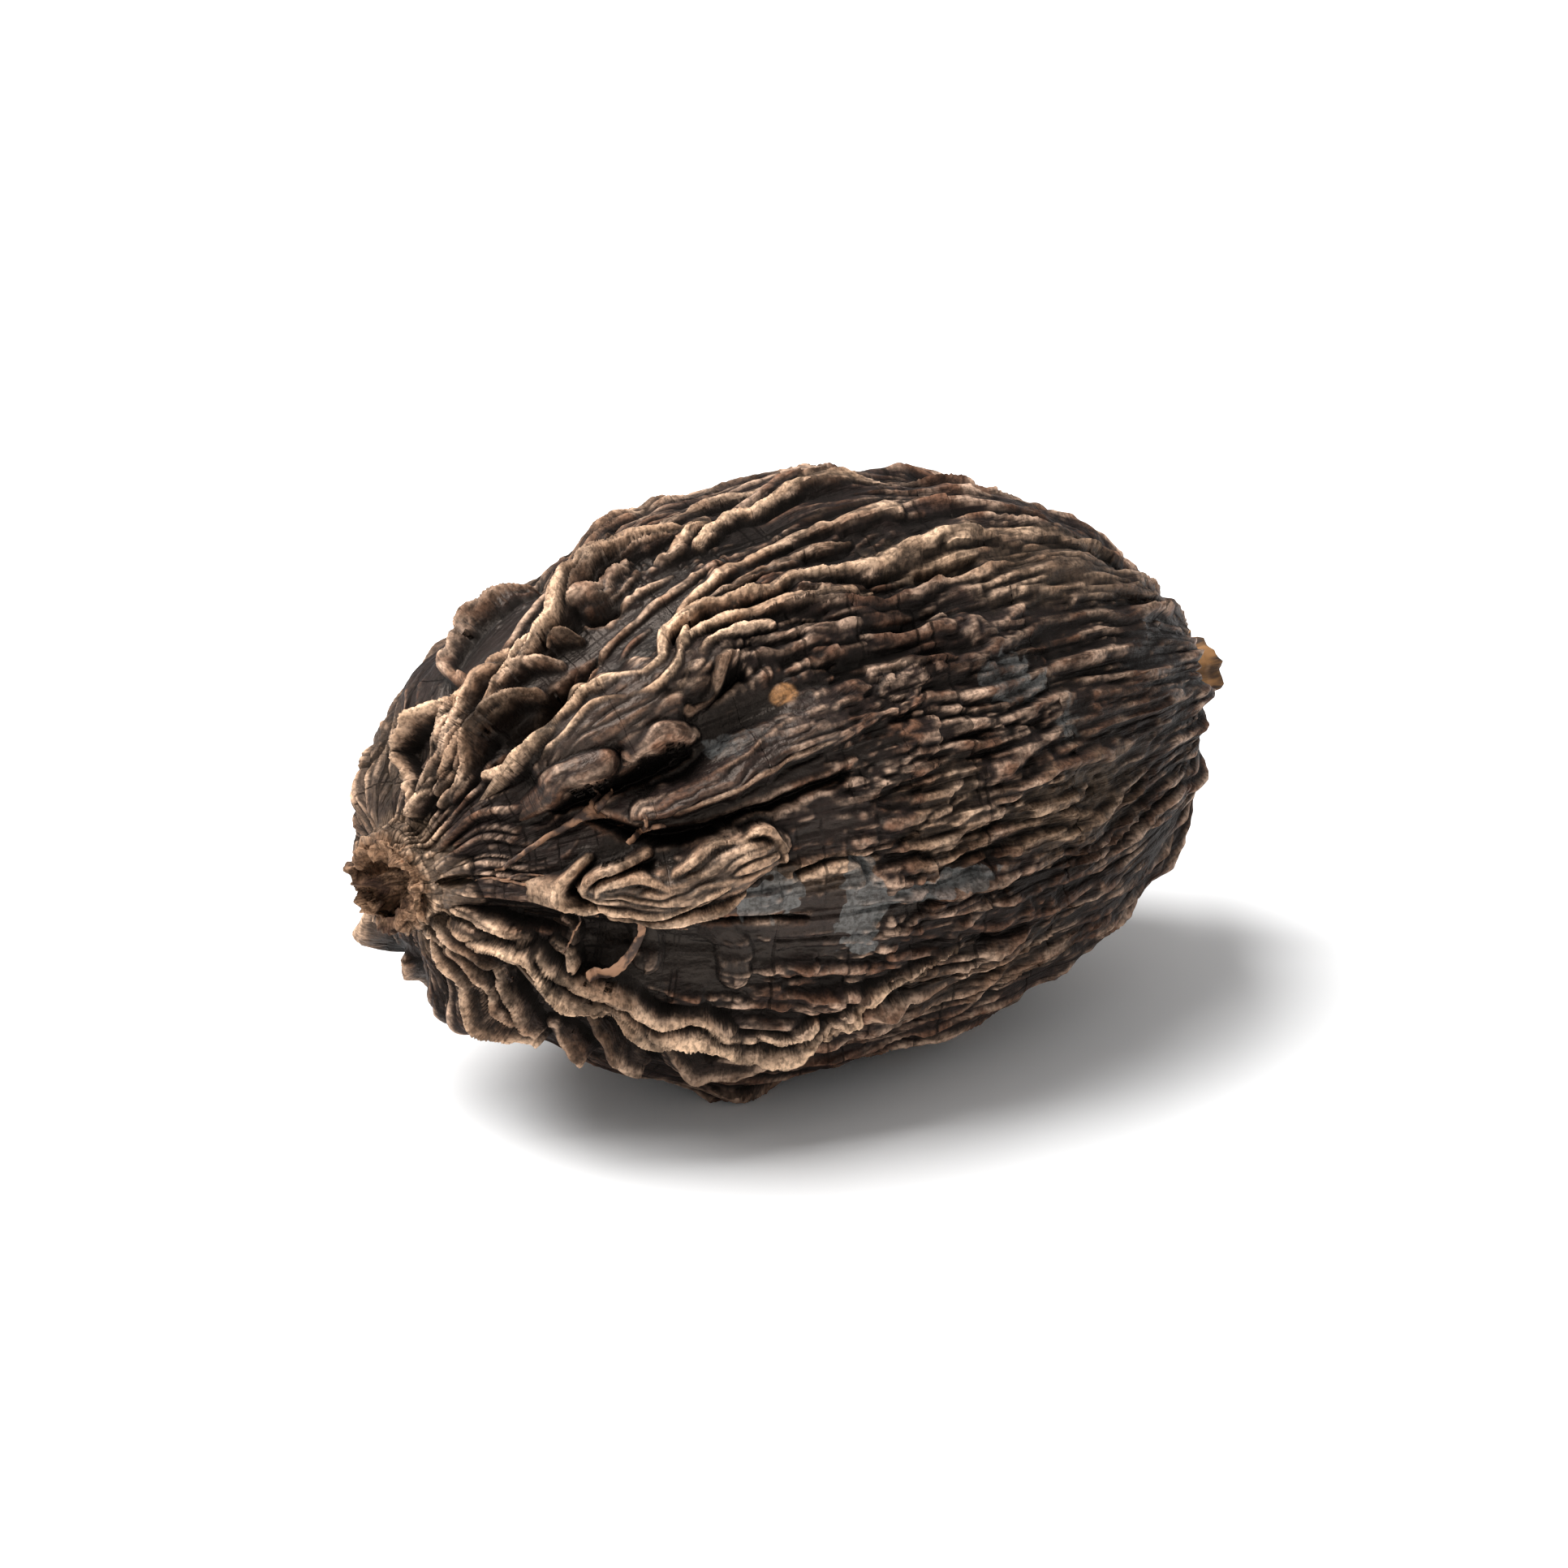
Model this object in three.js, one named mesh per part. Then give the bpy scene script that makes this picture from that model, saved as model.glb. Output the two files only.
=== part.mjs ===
// A dried black cardamom pod lying on its side, with the broken end of its stalk.
//
// Millimetres, +Z up. +X runs along the pod, from the pleated neck to the stalk. The origin is
// the middle of the model's box, on the surface that the pod rests on.
//
// The husk grew as one piece, so it is one solid: an egg-shaped shell of revolution, drawn out
// into a narrow hollow neck, whose skin is then raised into lobes, folds and ribs. A place on
// the skin is named by two values: "along", the way over the skin from the neck's rim in
// millimetres, and "around", the angle about the pod's axis in degrees, 0 on top and growing
// towards -Y.
import * as THREE from 'three';
import { mergeVertices } from 'three/addons/utils/BufferGeometryUtils.js';

// ---- driving dimensions ------------------------------------------------------------------

const GIRTH_RADIUS = 9.5; // widest radius, halfway along the husk
const NECK_SIDE = { reach: 14.8, fullness: 2.39 }; // fullness 2 is an ellipse, more is squarer
const STALK_SIDE = { reach: 15.1, fullness: 2.13 };

const NECK_RIM_X = -16.3;
const NECK_RADIUS = 1.6;
const NECK_BLEND = [6, 14]; // how far from the girth the neck's tube starts to show, and is whole
const NECK_BORE_RADIUS = 0.95;
const NECK_BORE_DEPTH = 1.5;
const NECK_RIM_ROUNDING = 0.25;

const STUB_RADIUS = 1.0;
const STUB_END_X = 16.8;
const STUB_FLARE = 0.12; // how much wider the torn end is
const STUB_SLANT = 0.35; // how far the torn end slopes across the stub
const STUB_CLEARANCE = 0.3; // air between the stub and the dimple that it grows from
const DIMPLE_RADIUS = STUB_RADIUS + STUB_CLEARANCE;
const DIMPLE_DEPTH = 0.7;

const AXIS_HEIGHT = 9.0; // the husk is pressed flat where it would reach below this

const HUSK_RINGS = 46;
const HUSK_SEGMENTS = 72;
const STUB_SEGMENTS = 16;

const RIB_COUNT = 13; // broad ribs that run from the neck to the stalk
const RIB_HEIGHT = 0.14;
const RIB_DRIFT = 0.9; // radians that a rib wanders to either side on its way
const LOBE_FADE = [0.4, 3.4]; // the lobes grow in over this stretch from the rim
const FOLD_FADE = [1.2, 5.0]; // and the narrower folds and ribs over this one
const STALK_FADE = 5.0; // all of it dies out over this last stretch

// Round swellings: place, height and radius.
const LOBES = [
  { along: 4.0, around: -75, height: 1.2, radius: 1.8 },
  { along: 7.0, around: -42, height: 0.7, radius: 1.9 },
  { along: 3.3, around: -172, height: 1.1, radius: 1.7 },
  { along: 5.2, around: -125, height: 0.8, radius: 1.8 },
  { along: 9.5, around: -95, height: 0.5, radius: 2.2 },
  { along: 8.0, around: 142, height: 0.5, radius: 1.8 },
  { along: 5.5, around: 52, height: -0.5, radius: 1.2 },
  { along: 7.2, around: 22, height: -1.0, radius: 1.2 },
  { along: 7.6, around: 99, height: -0.9, radius: 1.5 },
  { along: 9.4, around: 73, height: -0.7, radius: 1.0 },
];

// Folds: the places [along, around] that the crest runs through, its height and half its width.
const FOLDS = [
  {
    // the crown fold, knobbed, from the neck over the top
    crest: [[2.5, 3], [5, 9], [8, 7], [10, 4], [12, -4], [14, -3], [17, -1], [21, -2], [26, 0]],
    height: 0.75,
    halfWidth: 1.1,
  },
  {
    // the shoulder fold, which turns back on itself and then runs on to the stalk
    crest: [[5, 34], [7, 35], [9, 33], [10.6, 34], [11.8, 27], [13.3, 25], [15, 27], [19, 27], [26, 26]],
    height: 0.6,
    halfWidth: 0.9,
  },
  {
    // a short plump fold under it
    crest: [[6.3, 47], [8, 44], [10.4, 45]],
    height: 0.8,
    halfWidth: 1.1,
  },
  {
    // a long plump fold along the flank
    crest: [[9, 63], [11, 62], [13, 58], [16, 54], [20, 52]],
    height: 0.7,
    halfWidth: 1.0,
  },
  {
    // the flap on the flank
    crest: [[6, 80], [8, 80], [9.5, 83], [11, 78], [12.2, 76]],
    height: 0.8,
    halfWidth: 1.1,
  },
  {
    // the skirt fold low on the flank
    crest: [[2.5, 112], [4.5, 105], [6.5, 117], [9.5, 123], [12, 127], [15, 122], [20, 112]],
    height: 0.8,
    halfWidth: 0.9,
  },
  {
    // four folds down the far side
    crest: [[3, -35], [6, -20], [8, -33], [12, -30], [18, -34], [24, -30]],
    height: 0.6,
    halfWidth: 0.9,
  },
  {
    crest: [[4, -62], [8, -70], [11, -62], [15, -66], [21, -60]],
    height: 0.7,
    halfWidth: 1.0,
  },
  {
    crest: [[3, -95], [6, -108], [9, -100], [13, -104], [18, -98]],
    height: 0.7,
    halfWidth: 1.0,
  },
  {
    crest: [[4, -140], [8, -132], [11, -140], [16, -134]],
    height: 0.6,
    halfWidth: 0.9,
  },
];

const HUSK_SKIN = new THREE.MeshStandardMaterial({
  color: '#4a3a32',
  roughness: 0.72,
  metalness: 0,
});
const STALK_WOOD = new THREE.MeshStandardMaterial({
  color: '#7a5c40',
  roughness: 0.85,
  metalness: 0,
});

// ---- outline -----------------------------------------------------------------------------

/** Radius of the smooth husk at x: two full half-eggs, melted into the neck's tube. */
function huskRadius(x) {
  const side = x < 0 ? NECK_SIDE : STALK_SIDE;
  const shell = GIRTH_RADIUS * Math.sqrt(Math.max(0, 1 - Math.abs(x / side.reach) ** side.fullness));
  const neck = NECK_RADIUS * THREE.MathUtils.smoothstep(-x, NECK_BLEND[0], NECK_BLEND[1]);
  return Math.hypot(shell, neck);
}

/** Where the stalk side has narrowed to the dimple. */
function dimpleLipX() {
  const closed = 1 - (DIMPLE_RADIUS / GIRTH_RADIUS) ** 2;
  return STALK_SIDE.reach * closed ** (1 / STALK_SIDE.fullness);
}

/** Evenly spaced points down the outside, from the neck's rim to the dimple's lip. */
function outsidePoints() {
  const lipX = dimpleLipX();
  const dense = [];
  const steps = 400;
  for (let i = 0; i <= steps; i += 1) {
    const eased = (1 - Math.cos((Math.PI * i) / steps)) / 2; // closer together at the steep ends
    const x = THREE.MathUtils.lerp(NECK_RIM_X, lipX, eased);
    dense.push(new THREE.Vector2(huskRadius(x), x));
  }
  return new THREE.SplineCurve(dense).getSpacedPoints(HUSK_RINGS);
}

/** The way into the neck's bore: floor, wall and rounded rim. */
function borePoints() {
  const floorX = NECK_RIM_X + NECK_BORE_DEPTH;
  return [
    new THREE.Vector2(0, floorX),
    new THREE.Vector2(NECK_BORE_RADIUS * 0.7, floorX),
    new THREE.Vector2(NECK_BORE_RADIUS, floorX - NECK_BORE_DEPTH / 2),
    new THREE.Vector2(NECK_BORE_RADIUS + NECK_RIM_ROUNDING / 2, NECK_RIM_X - NECK_RIM_ROUNDING / 2),
  ];
}

/** The dimple that the stalk grows from: wall and floor. */
function dimplePoints() {
  const floorX = dimpleLipX() - DIMPLE_DEPTH;
  return [
    new THREE.Vector2(DIMPLE_RADIUS, floorX),
    new THREE.Vector2(0, floorX),
  ];
}

// ---- relief ------------------------------------------------------------------------------

/** Angle from b to a in degrees, the short way round. */
function turn(a, b) {
  return THREE.MathUtils.euclideanModulo(a - b + 180, 360) - 180;
}

/** Distance over the skin, in millimetres, from a place to the line between two others. */
function distanceToLine(along, around, perDegree, from, to) {
  const line = new THREE.Vector2(to[0] - from[0], turn(to[1], from[1]) * perDegree);
  const place = new THREE.Vector2(along - from[0], turn(around, from[1]) * perDegree);
  const share = THREE.MathUtils.clamp(place.dot(line) / line.lengthSq(), 0, 1);
  return place.distanceTo(line.multiplyScalar(share));
}

/** A rounded bump: 1 at distance 0, and a third of that at one width away. */
function bump(distance, width) {
  return Math.exp(-((distance / width) ** 2));
}

/** How far the folds raise the skin at a place: the highest of them, not their sum. */
function foldRelief(along, around, perDegree) {
  let highest = 0;
  for (const { crest, height, halfWidth } of FOLDS) {
    for (let i = 1; i < crest.length; i += 1) {
      const distance = distanceToLine(along, around, perDegree, crest[i - 1], crest[i]);
      highest = Math.max(highest, height * bump(distance, halfWidth));
    }
  }
  return highest;
}

/** How far the lobes and hollows move the skin at a place. */
function lobeRelief(along, around, perDegree) {
  let sum = 0;
  for (const lobe of LOBES) {
    const distance = Math.hypot(along - lobe.along, turn(around, lobe.around) * perDegree);
    sum += lobe.height * bump(distance, lobe.radius);
  }
  return sum;
}

/** The broad ribs, which wander a little as they run. */
function ribRelief(along, around) {
  const wander = RIB_DRIFT * Math.sin(along / 4) + 0.5 * RIB_DRIFT * Math.sin(along / 1.7 + 1);
  return RIB_HEIGHT * Math.cos(RIB_COUNT * THREE.MathUtils.degToRad(around) + wander);
}

/** The whole relief at a place, fading out towards both ends of the skin. */
function relief(along, around, radius, length) {
  const perDegree = THREE.MathUtils.degToRad(radius);
  const lobes = lobeRelief(along, around, perDegree);
  const folds = foldRelief(along, around, perDegree) + ribRelief(along, around);
  const lobeShare = THREE.MathUtils.smoothstep(along, LOBE_FADE[0], LOBE_FADE[1]);
  const foldShare = THREE.MathUtils.smoothstep(along, FOLD_FADE[0], FOLD_FADE[1]);
  const fadeOut = THREE.MathUtils.smoothstep(length - along, 0, STALK_FADE);
  return (lobes * lobeShare + folds * foldShare) * fadeOut;
}

// ---- pieces ------------------------------------------------------------------------------

/** Outward normal of the outline at one of its points, from its two neighbours. */
function outlineNormal(points, index) {
  const before = points[Math.max(0, index - 1)];
  const after = points[Math.min(points.length - 1, index + 1)];
  const way = after.clone().sub(before).normalize();
  return new THREE.Vector2(way.y, -way.x);
}

/** The husk: its outline turned about the axis, then raised into its relief. */
function makeHusk() {
  const outside = outsidePoints();
  const bore = borePoints();
  const profile = [...bore, ...outside, ...dimplePoints()];
  const geometry = new THREE.LatheGeometry(profile, HUSK_SEGMENTS);
  const position = geometry.getAttribute('position');
  const step = outside[0].distanceTo(outside[1]);
  const length = step * HUSK_RINGS;
  for (let segment = 0; segment <= HUSK_SEGMENTS; segment += 1) {
    const around = (360 * (segment % HUSK_SEGMENTS)) / HUSK_SEGMENTS;
    const angle = THREE.MathUtils.degToRad(around);
    outside.forEach((point, ring) => {
      const raised = relief(ring * step, around, point.x, length);
      const normal = outlineNormal(outside, ring);
      const radius = point.x + normal.x * raised;
      const height = Math.max(radius * Math.cos(angle), -AXIS_HEIGHT);
      const index = segment * profile.length + bore.length + ring;
      position.setXYZ(index, radius * Math.sin(angle), point.y + normal.y * raised, height);
    });
  }
  return closedMesh(geometry, HUSK_SKIN, 'pod');
}

/** The stalk's stub, slightly flared to a torn, sloping end. */
function makeStub() {
  const rootX = dimpleLipX() - DIMPLE_DEPTH + STUB_CLEARANCE;
  const profile = [
    new THREE.Vector2(0, rootX),
    new THREE.Vector2(STUB_RADIUS, rootX),
    new THREE.Vector2(STUB_RADIUS, (rootX + STUB_END_X) / 2),
    new THREE.Vector2(STUB_RADIUS + STUB_FLARE, STUB_END_X - STUB_SLANT),
    new THREE.Vector2(0, STUB_END_X - STUB_SLANT),
  ];
  const geometry = new THREE.LatheGeometry(profile, STUB_SEGMENTS);
  const position = geometry.getAttribute('position');
  for (let i = 0; i < position.count; i += 1) {
    const atTornEnd = position.getY(i) > STUB_END_X - STUB_SLANT - 1e-6;
    if (atTornEnd) {
      const slope = (STUB_SLANT * position.getZ(i)) / (STUB_RADIUS + STUB_FLARE);
      position.setY(i, position.getY(i) + slope);
    }
  }
  return closedMesh(geometry, STALK_WOOD, 'stalk_stub');
}

/** A turned shape as one closed mesh, laid down so that its axis is the pod's. */
function closedMesh(geometry, material, name) {
  geometry.deleteAttribute('normal');
  geometry.deleteAttribute('uv');
  const mesh = new THREE.Mesh(mergeVertices(geometry, 1e-5), material);
  mesh.name = name;
  mesh.rotation.z = -Math.PI / 2;
  return mesh;
}

/** Both pieces, moved so that the origin is at the middle of the box's underside. */
function makePod() {
  const group = new THREE.Group();
  group.add(makeHusk(), makeStub());
  group.updateMatrixWorld(true);
  const box = new THREE.Box3().setFromObject(group, true);
  const middle = box.getCenter(new THREE.Vector3());
  group.position.set(-middle.x, -middle.y, -box.min.z);
  return group;
}

export default makePod();
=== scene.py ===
import logging
import math
from dataclasses import dataclass, field
from enum import Enum

import bmesh
import bpy
import numpy as np
from mathutils import Matrix, Vector


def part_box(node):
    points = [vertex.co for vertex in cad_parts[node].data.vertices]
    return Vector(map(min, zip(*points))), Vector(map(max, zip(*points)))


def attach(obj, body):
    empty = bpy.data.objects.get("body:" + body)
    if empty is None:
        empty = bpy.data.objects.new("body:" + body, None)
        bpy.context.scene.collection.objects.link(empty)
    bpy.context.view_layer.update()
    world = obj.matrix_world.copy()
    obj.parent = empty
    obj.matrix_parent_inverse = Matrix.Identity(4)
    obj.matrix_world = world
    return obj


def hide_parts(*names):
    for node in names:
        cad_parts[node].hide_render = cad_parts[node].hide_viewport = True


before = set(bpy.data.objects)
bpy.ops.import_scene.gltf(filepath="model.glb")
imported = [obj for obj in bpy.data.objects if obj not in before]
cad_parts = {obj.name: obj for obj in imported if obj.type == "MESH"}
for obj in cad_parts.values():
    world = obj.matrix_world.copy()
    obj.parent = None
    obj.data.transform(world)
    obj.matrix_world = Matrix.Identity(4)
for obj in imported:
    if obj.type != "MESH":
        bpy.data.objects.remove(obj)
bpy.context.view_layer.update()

# A dried black cardamom pod lying on its side.
#
# The husk is one skin. Its lobes, folds, strands and ribs are raised on a fine grid over the pod's
# smooth outline, and tubes, each drawn out from a circle, are then laid over that grid, edge to
# edge. A place on the skin is named by two values: "along", the way over the skin from the neck's
# rim in millimetres (less than 0 inside the neck's mouth), and "around", the angle about the pod's
# axis in degrees, 0 on top and growing towards -Y.

LOG = logging.getLogger("cardamom")
MM = 0.001  # the sculpting is worked out in millimetres, the meshes are in metres
ROOT = "root"
PACKED_RIM_X = -16.3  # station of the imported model's neck rim, in mm from the girth
PACKED_RIM_ROUNDING = 0.125  # how far its rounding stands out beyond the rim, in mm
PATH_STEPS = 12  # pieces between two given points of a smooth path

SMOOTH_RANGE = {"interpolation_type": "SMOOTHSTEP"}
MIX_COLOURS = {"data_type": "RGBA", "clamp_factor": True}
ADD = {"operation": "ADD", "use_clamp": True}
SUBTRACT = {"operation": "SUBTRACT", "use_clamp": True}
MULTIPLY = {"operation": "MULTIPLY", "use_clamp": True}
MAXIMUM = {"operation": "MAXIMUM", "use_clamp": True}

Socket = bpy.types.NodeSocket
Array = np.ndarray


# ---------------------------------------------------------------------------------------------
# Small tools
# ---------------------------------------------------------------------------------------------


def srgb(code: str) -> tuple[float, float, float, float]:
    """Turns an sRGB hex colour into the linear colour that shaders use.

    Args:
        code: the colour, such as "#6d5343".

    Returns:
        Red, green, blue and an alpha of 1.
    """
    channels = [int(code[i:i + 2], 16) / 255 for i in (1, 3, 5)]
    linear = [c / 12.92 if c <= 0.04045 else ((c + 0.055) / 1.055) ** 2.4 for c in channels]
    return (*linear, 1.0)


def ease(value: Array, low: float, high: float) -> Array:
    """Smooth step of value, 0 at low and 1 at high."""
    share = np.clip((value - low) / (high - low), 0.0, 1.0)
    return share * share * (3.0 - 2.0 * share)


def add_node(
    tree: bpy.types.NodeTree,
    kind: str,
    settings: dict[str, object] | None = None,
    inputs: dict[str | int, object] | None = None,
) -> bpy.types.Node:
    """Adds a shader node, sets it up and links it.

    Args:
        tree: the node tree.
        kind: the node's type, such as "ShaderNodeMix".
        settings: properties of the node.
        inputs: values for its inputs, by name or index; a socket is linked instead.

    Returns:
        The new node.
    """
    node = tree.nodes.new(kind)
    for name, value in (settings or {}).items():
        setattr(node, name, value)
    for name, value in (inputs or {}).items():
        if isinstance(value, Socket):
            tree.links.new(value, node.inputs[name])
        else:
            node.inputs[name].default_value = value
    return node


def new_material(name: str) -> tuple[bpy.types.Material, bpy.types.NodeTree]:
    """Starts a material.

    Args:
        name: its name.

    Returns:
        The material and its empty node tree.
    """
    material = bpy.data.materials.new(name)
    material.use_nodes = True
    material.node_tree.nodes.clear()
    return material, material.node_tree


class Noise:
    """Smooth gradient noise in three dimensions, the same on every run."""

    GAIN = 1.5  # brings the values to about -0.8 to 0.8

    def __init__(self, seed: int) -> None:
        """Draws the lattice of directions for this seed."""
        source = np.random.default_rng(seed)
        self.order = np.tile(source.permutation(256), 2)
        directions = source.normal(size=(256, 3))
        directions /= np.linalg.norm(directions, axis=1, keepdims=True)
        self.directions = directions.astype(np.float32)

    def __call__(self, x: Array | float, y: Array | float, z: Array | float) -> Array:
        """Noise at places given in lattice cells.

        Args:
            x: first coordinate.
            y: second coordinate.
            z: third coordinate.

        Returns:
            Values from about -0.8 to 0.8.
        """
        x, y, z = np.broadcast_arrays(x, y, z)
        corner = [np.floor(value).astype(np.int32) for value in (x, y, z)]
        offset = [(value - low).astype(np.float32) for value, low in zip((x, y, z), corner)]
        fade = [value ** 3 * (value * (value * 6 - 15) + 10) for value in offset]
        total = np.zeros(x.shape, np.float32)
        for i in (0, 1):
            first = self.order[(corner[0] + i) & 255]
            for j in (0, 1):
                second = self.order[first + ((corner[1] + j) & 255)]
                for k in (0, 1):
                    direction = self.directions[self.order[second + ((corner[2] + k) & 255)]]
                    slope = (direction[..., 0] * (offset[0] - i)
                             + direction[..., 1] * (offset[1] - j)
                             + direction[..., 2] * (offset[2] - k))
                    share = ((fade[0] if i else 1 - fade[0])
                             * (fade[1] if j else 1 - fade[1])
                             * (fade[2] if k else 1 - fade[2]))
                    total += slope * share
        return total.astype(float) * self.GAIN


def smooth_path(points: Array, steps: int) -> Array:
    """A smooth curve through given points.

    Args:
        points: rows of values; the first columns are the place, the others follow it.
        steps: how many pieces each stretch between two points is cut into.

    Returns:
        The curve's points, with the first and the last of the given ones among them.
    """
    padded = np.vstack([2 * points[0] - points[1], points, 2 * points[-1] - points[-2]])
    share = np.linspace(0, 1, steps, endpoint=False)[:, None]
    pieces = []
    for before, start, end, after in zip(padded, padded[1:], padded[2:], padded[3:]):
        pieces.append(0.5 * (2 * start + (end - before) * share
                             + (2 * before - 5 * start + 4 * end - after) * share ** 2
                             + (3 * start - before - 3 * end + after) * share ** 3))
    return np.vstack([*pieces, points[-1:]])


# ---------------------------------------------------------------------------------------------
# The husk's smooth outline
# ---------------------------------------------------------------------------------------------


@dataclass
class Outline:
    """The husk's outline, as a curve of station and radius about the pod's axis, in millimetres.

    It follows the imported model: two full half-eggs melted into a narrow neck tube, with a
    dimple for the stalk. The neck's bore is a shallow mouth here, filled with torn tissue.
    """

    girth_radius: float = 9.5
    neck_reach: float = 14.8
    neck_fullness: float = 2.39
    stalk_reach: float = 15.1
    stalk_fullness: float = 2.13
    rim_x: float = -16.3
    rim_radius: float = 1.4
    rim_rounding: float = 0.14
    neck_flare: float = 0.27
    neck_blend: tuple[float, float] = (10.0, 14.6)
    bore_radius: float = 0.95
    bore_depth: float = 0.25
    dimple_radius: float = 1.3
    dimple_depth: float = 0.7

    def __post_init__(self) -> None:
        """Lays out the curve and measures it."""
        lip_x = self.stalk_reach * (1 - (self.dimple_radius / self.girth_radius) ** 2) ** (
            1 / self.stalk_fullness)
        eased = (1 - np.cos(np.linspace(0, np.pi, 1200))) / 2
        stations = self.rim_x + (lip_x - self.rim_x) * eased
        outside = np.column_stack([stations, self.radius_at(stations)])
        floor_x = self.rim_x + self.bore_depth
        middle = self.bore_radius + (self.rim_radius - self.bore_radius) / 2
        bore = np.array([
            (floor_x, 0.02),
            (floor_x, self.bore_radius * 0.6),
            (floor_x - 0.08, self.bore_radius * 0.93),
            (self.rim_x, self.bore_radius + 0.04),
            (self.rim_x - self.rim_rounding, middle),
        ])
        dimple = np.array([
            (lip_x - 0.15, self.dimple_radius - 0.05),
            (lip_x - self.dimple_depth, self.dimple_radius - 0.1),
            (lip_x - self.dimple_depth, 0.02),
        ])
        inside = smooth_path(bore, PATH_STEPS)
        curve = np.vstack([inside, outside, dimple])
        lengths = np.concatenate([[0], np.cumsum(np.hypot(*np.diff(curve, axis=0).T))])
        rim = len(inside)
        self.curve = curve
        self.along = lengths - lengths[rim]
        self.start = float(self.along[0])
        self.lip = float(self.along[rim + len(outside) - 1])
        self.end = float(self.along[-1])

    def radius_at(self, x: Array) -> Array:
        """Radius of the outside at a station."""
        reach = np.where(x < 0, self.neck_reach, self.stalk_reach)
        fullness = np.where(x < 0, self.neck_fullness, self.stalk_fullness)
        shell = self.girth_radius * np.sqrt(np.maximum(0, 1 - np.abs(x / reach) ** fullness))
        neck = (self.rim_radius + self.neck_flare * (x - self.rim_x)) * ease(-x, *self.neck_blend)
        return np.cbrt(shell ** 3 + np.maximum(neck, 0) ** 3)

    def place(self, along: Array) -> tuple[Array, Array, Array, Array]:
        """The outline at a way along it.

        Args:
            along: the way over the skin, in millimetres.

        Returns:
            Station, radius, and the outward normal's parts along the axis and away from it.
        """
        nudge = 0.05
        x = np.interp(along, self.along, self.curve[:, 0])
        radius = np.interp(along, self.along, self.curve[:, 1])
        way_x = (np.interp(along + nudge, self.along, self.curve[:, 0])
                 - np.interp(along - nudge, self.along, self.curve[:, 0]))
        way_r = (np.interp(along + nudge, self.along, self.curve[:, 1])
                 - np.interp(along - nudge, self.along, self.curve[:, 1]))
        length = np.maximum(np.hypot(way_x, way_r), 1e-9)
        return x, radius, -way_r / length, way_x / length


# ---------------------------------------------------------------------------------------------
# What the skin is raised into
# ---------------------------------------------------------------------------------------------


class Section(Enum):
    """The cross-section of a fold, as the powers of its crown and of its flank."""

    ROUND = (1.9, 1.5)
    PLUMP = (2.6, 0.95)
    SHARP = (1.15, 1.6)


@dataclass(frozen=True)
class Fold:
    """A fold, strand or crease of the skin.

    Attributes:
        crest: the points that the crest runs through: along (mm), around (degrees), height (mm)
            and half-width (mm). A negative height makes a crease.
        section: the shape across the fold.
        lean: how far the crest hangs over, in mm, towards growing "around" if it runs from the
            neck to the stalk.
        skew: how much wider the flank on that same side is than the other, as a share.
        knobs: how much the height swells and shrinks along the fold.
        strands: depth of the gaps between the fine strands that run along it, in mm.
        tan: how much of the bare tan fibre shows on the crest.
    """

    crest: tuple[tuple[float, float, float, float], ...]
    section: Section = Section.ROUND
    lean: float = 0.0
    skew: float = 0.0
    knobs: float = 0.15
    strands: float = 0.16
    tan: float = 0.0


@dataclass(frozen=True)
class Swelling:
    """A round lobe, or a hollow if its height is negative.

    Attributes:
        along: middle, in mm along.
        around: middle, in degrees around.
        height: height of the middle, in mm.
        length: reach along the pod, in mm.
        width: reach around the pod, in mm.
    """

    along: float
    around: float
    height: float
    length: float
    width: float


class Tone(Enum):
    """What a patch of the skin changes."""

    CALM = "calm"  # smooth and satin: few ribs
    TAN = "tan"  # bare tan fibre
    BLOOM = "bloom"  # pale grey, waxy film
    AMBER = "amber"  # a fleck of dried resin
    PAINTED_SHADE = "painted_shade"  # painted shade: dark in hollows, on faces turned from the light, over the dim stalk end
    BARK = "bark"  # flaking outer skin
    RAW = "raw"  # torn, crumbly tissue


@dataclass(frozen=True)
class Patch:
    """An irregular patch of one tone: its middle, its reach in mm each way, and how strong."""

    tone: Tone
    along: float
    around: float
    length: float
    width: float
    strength: float = 1.0


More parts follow.
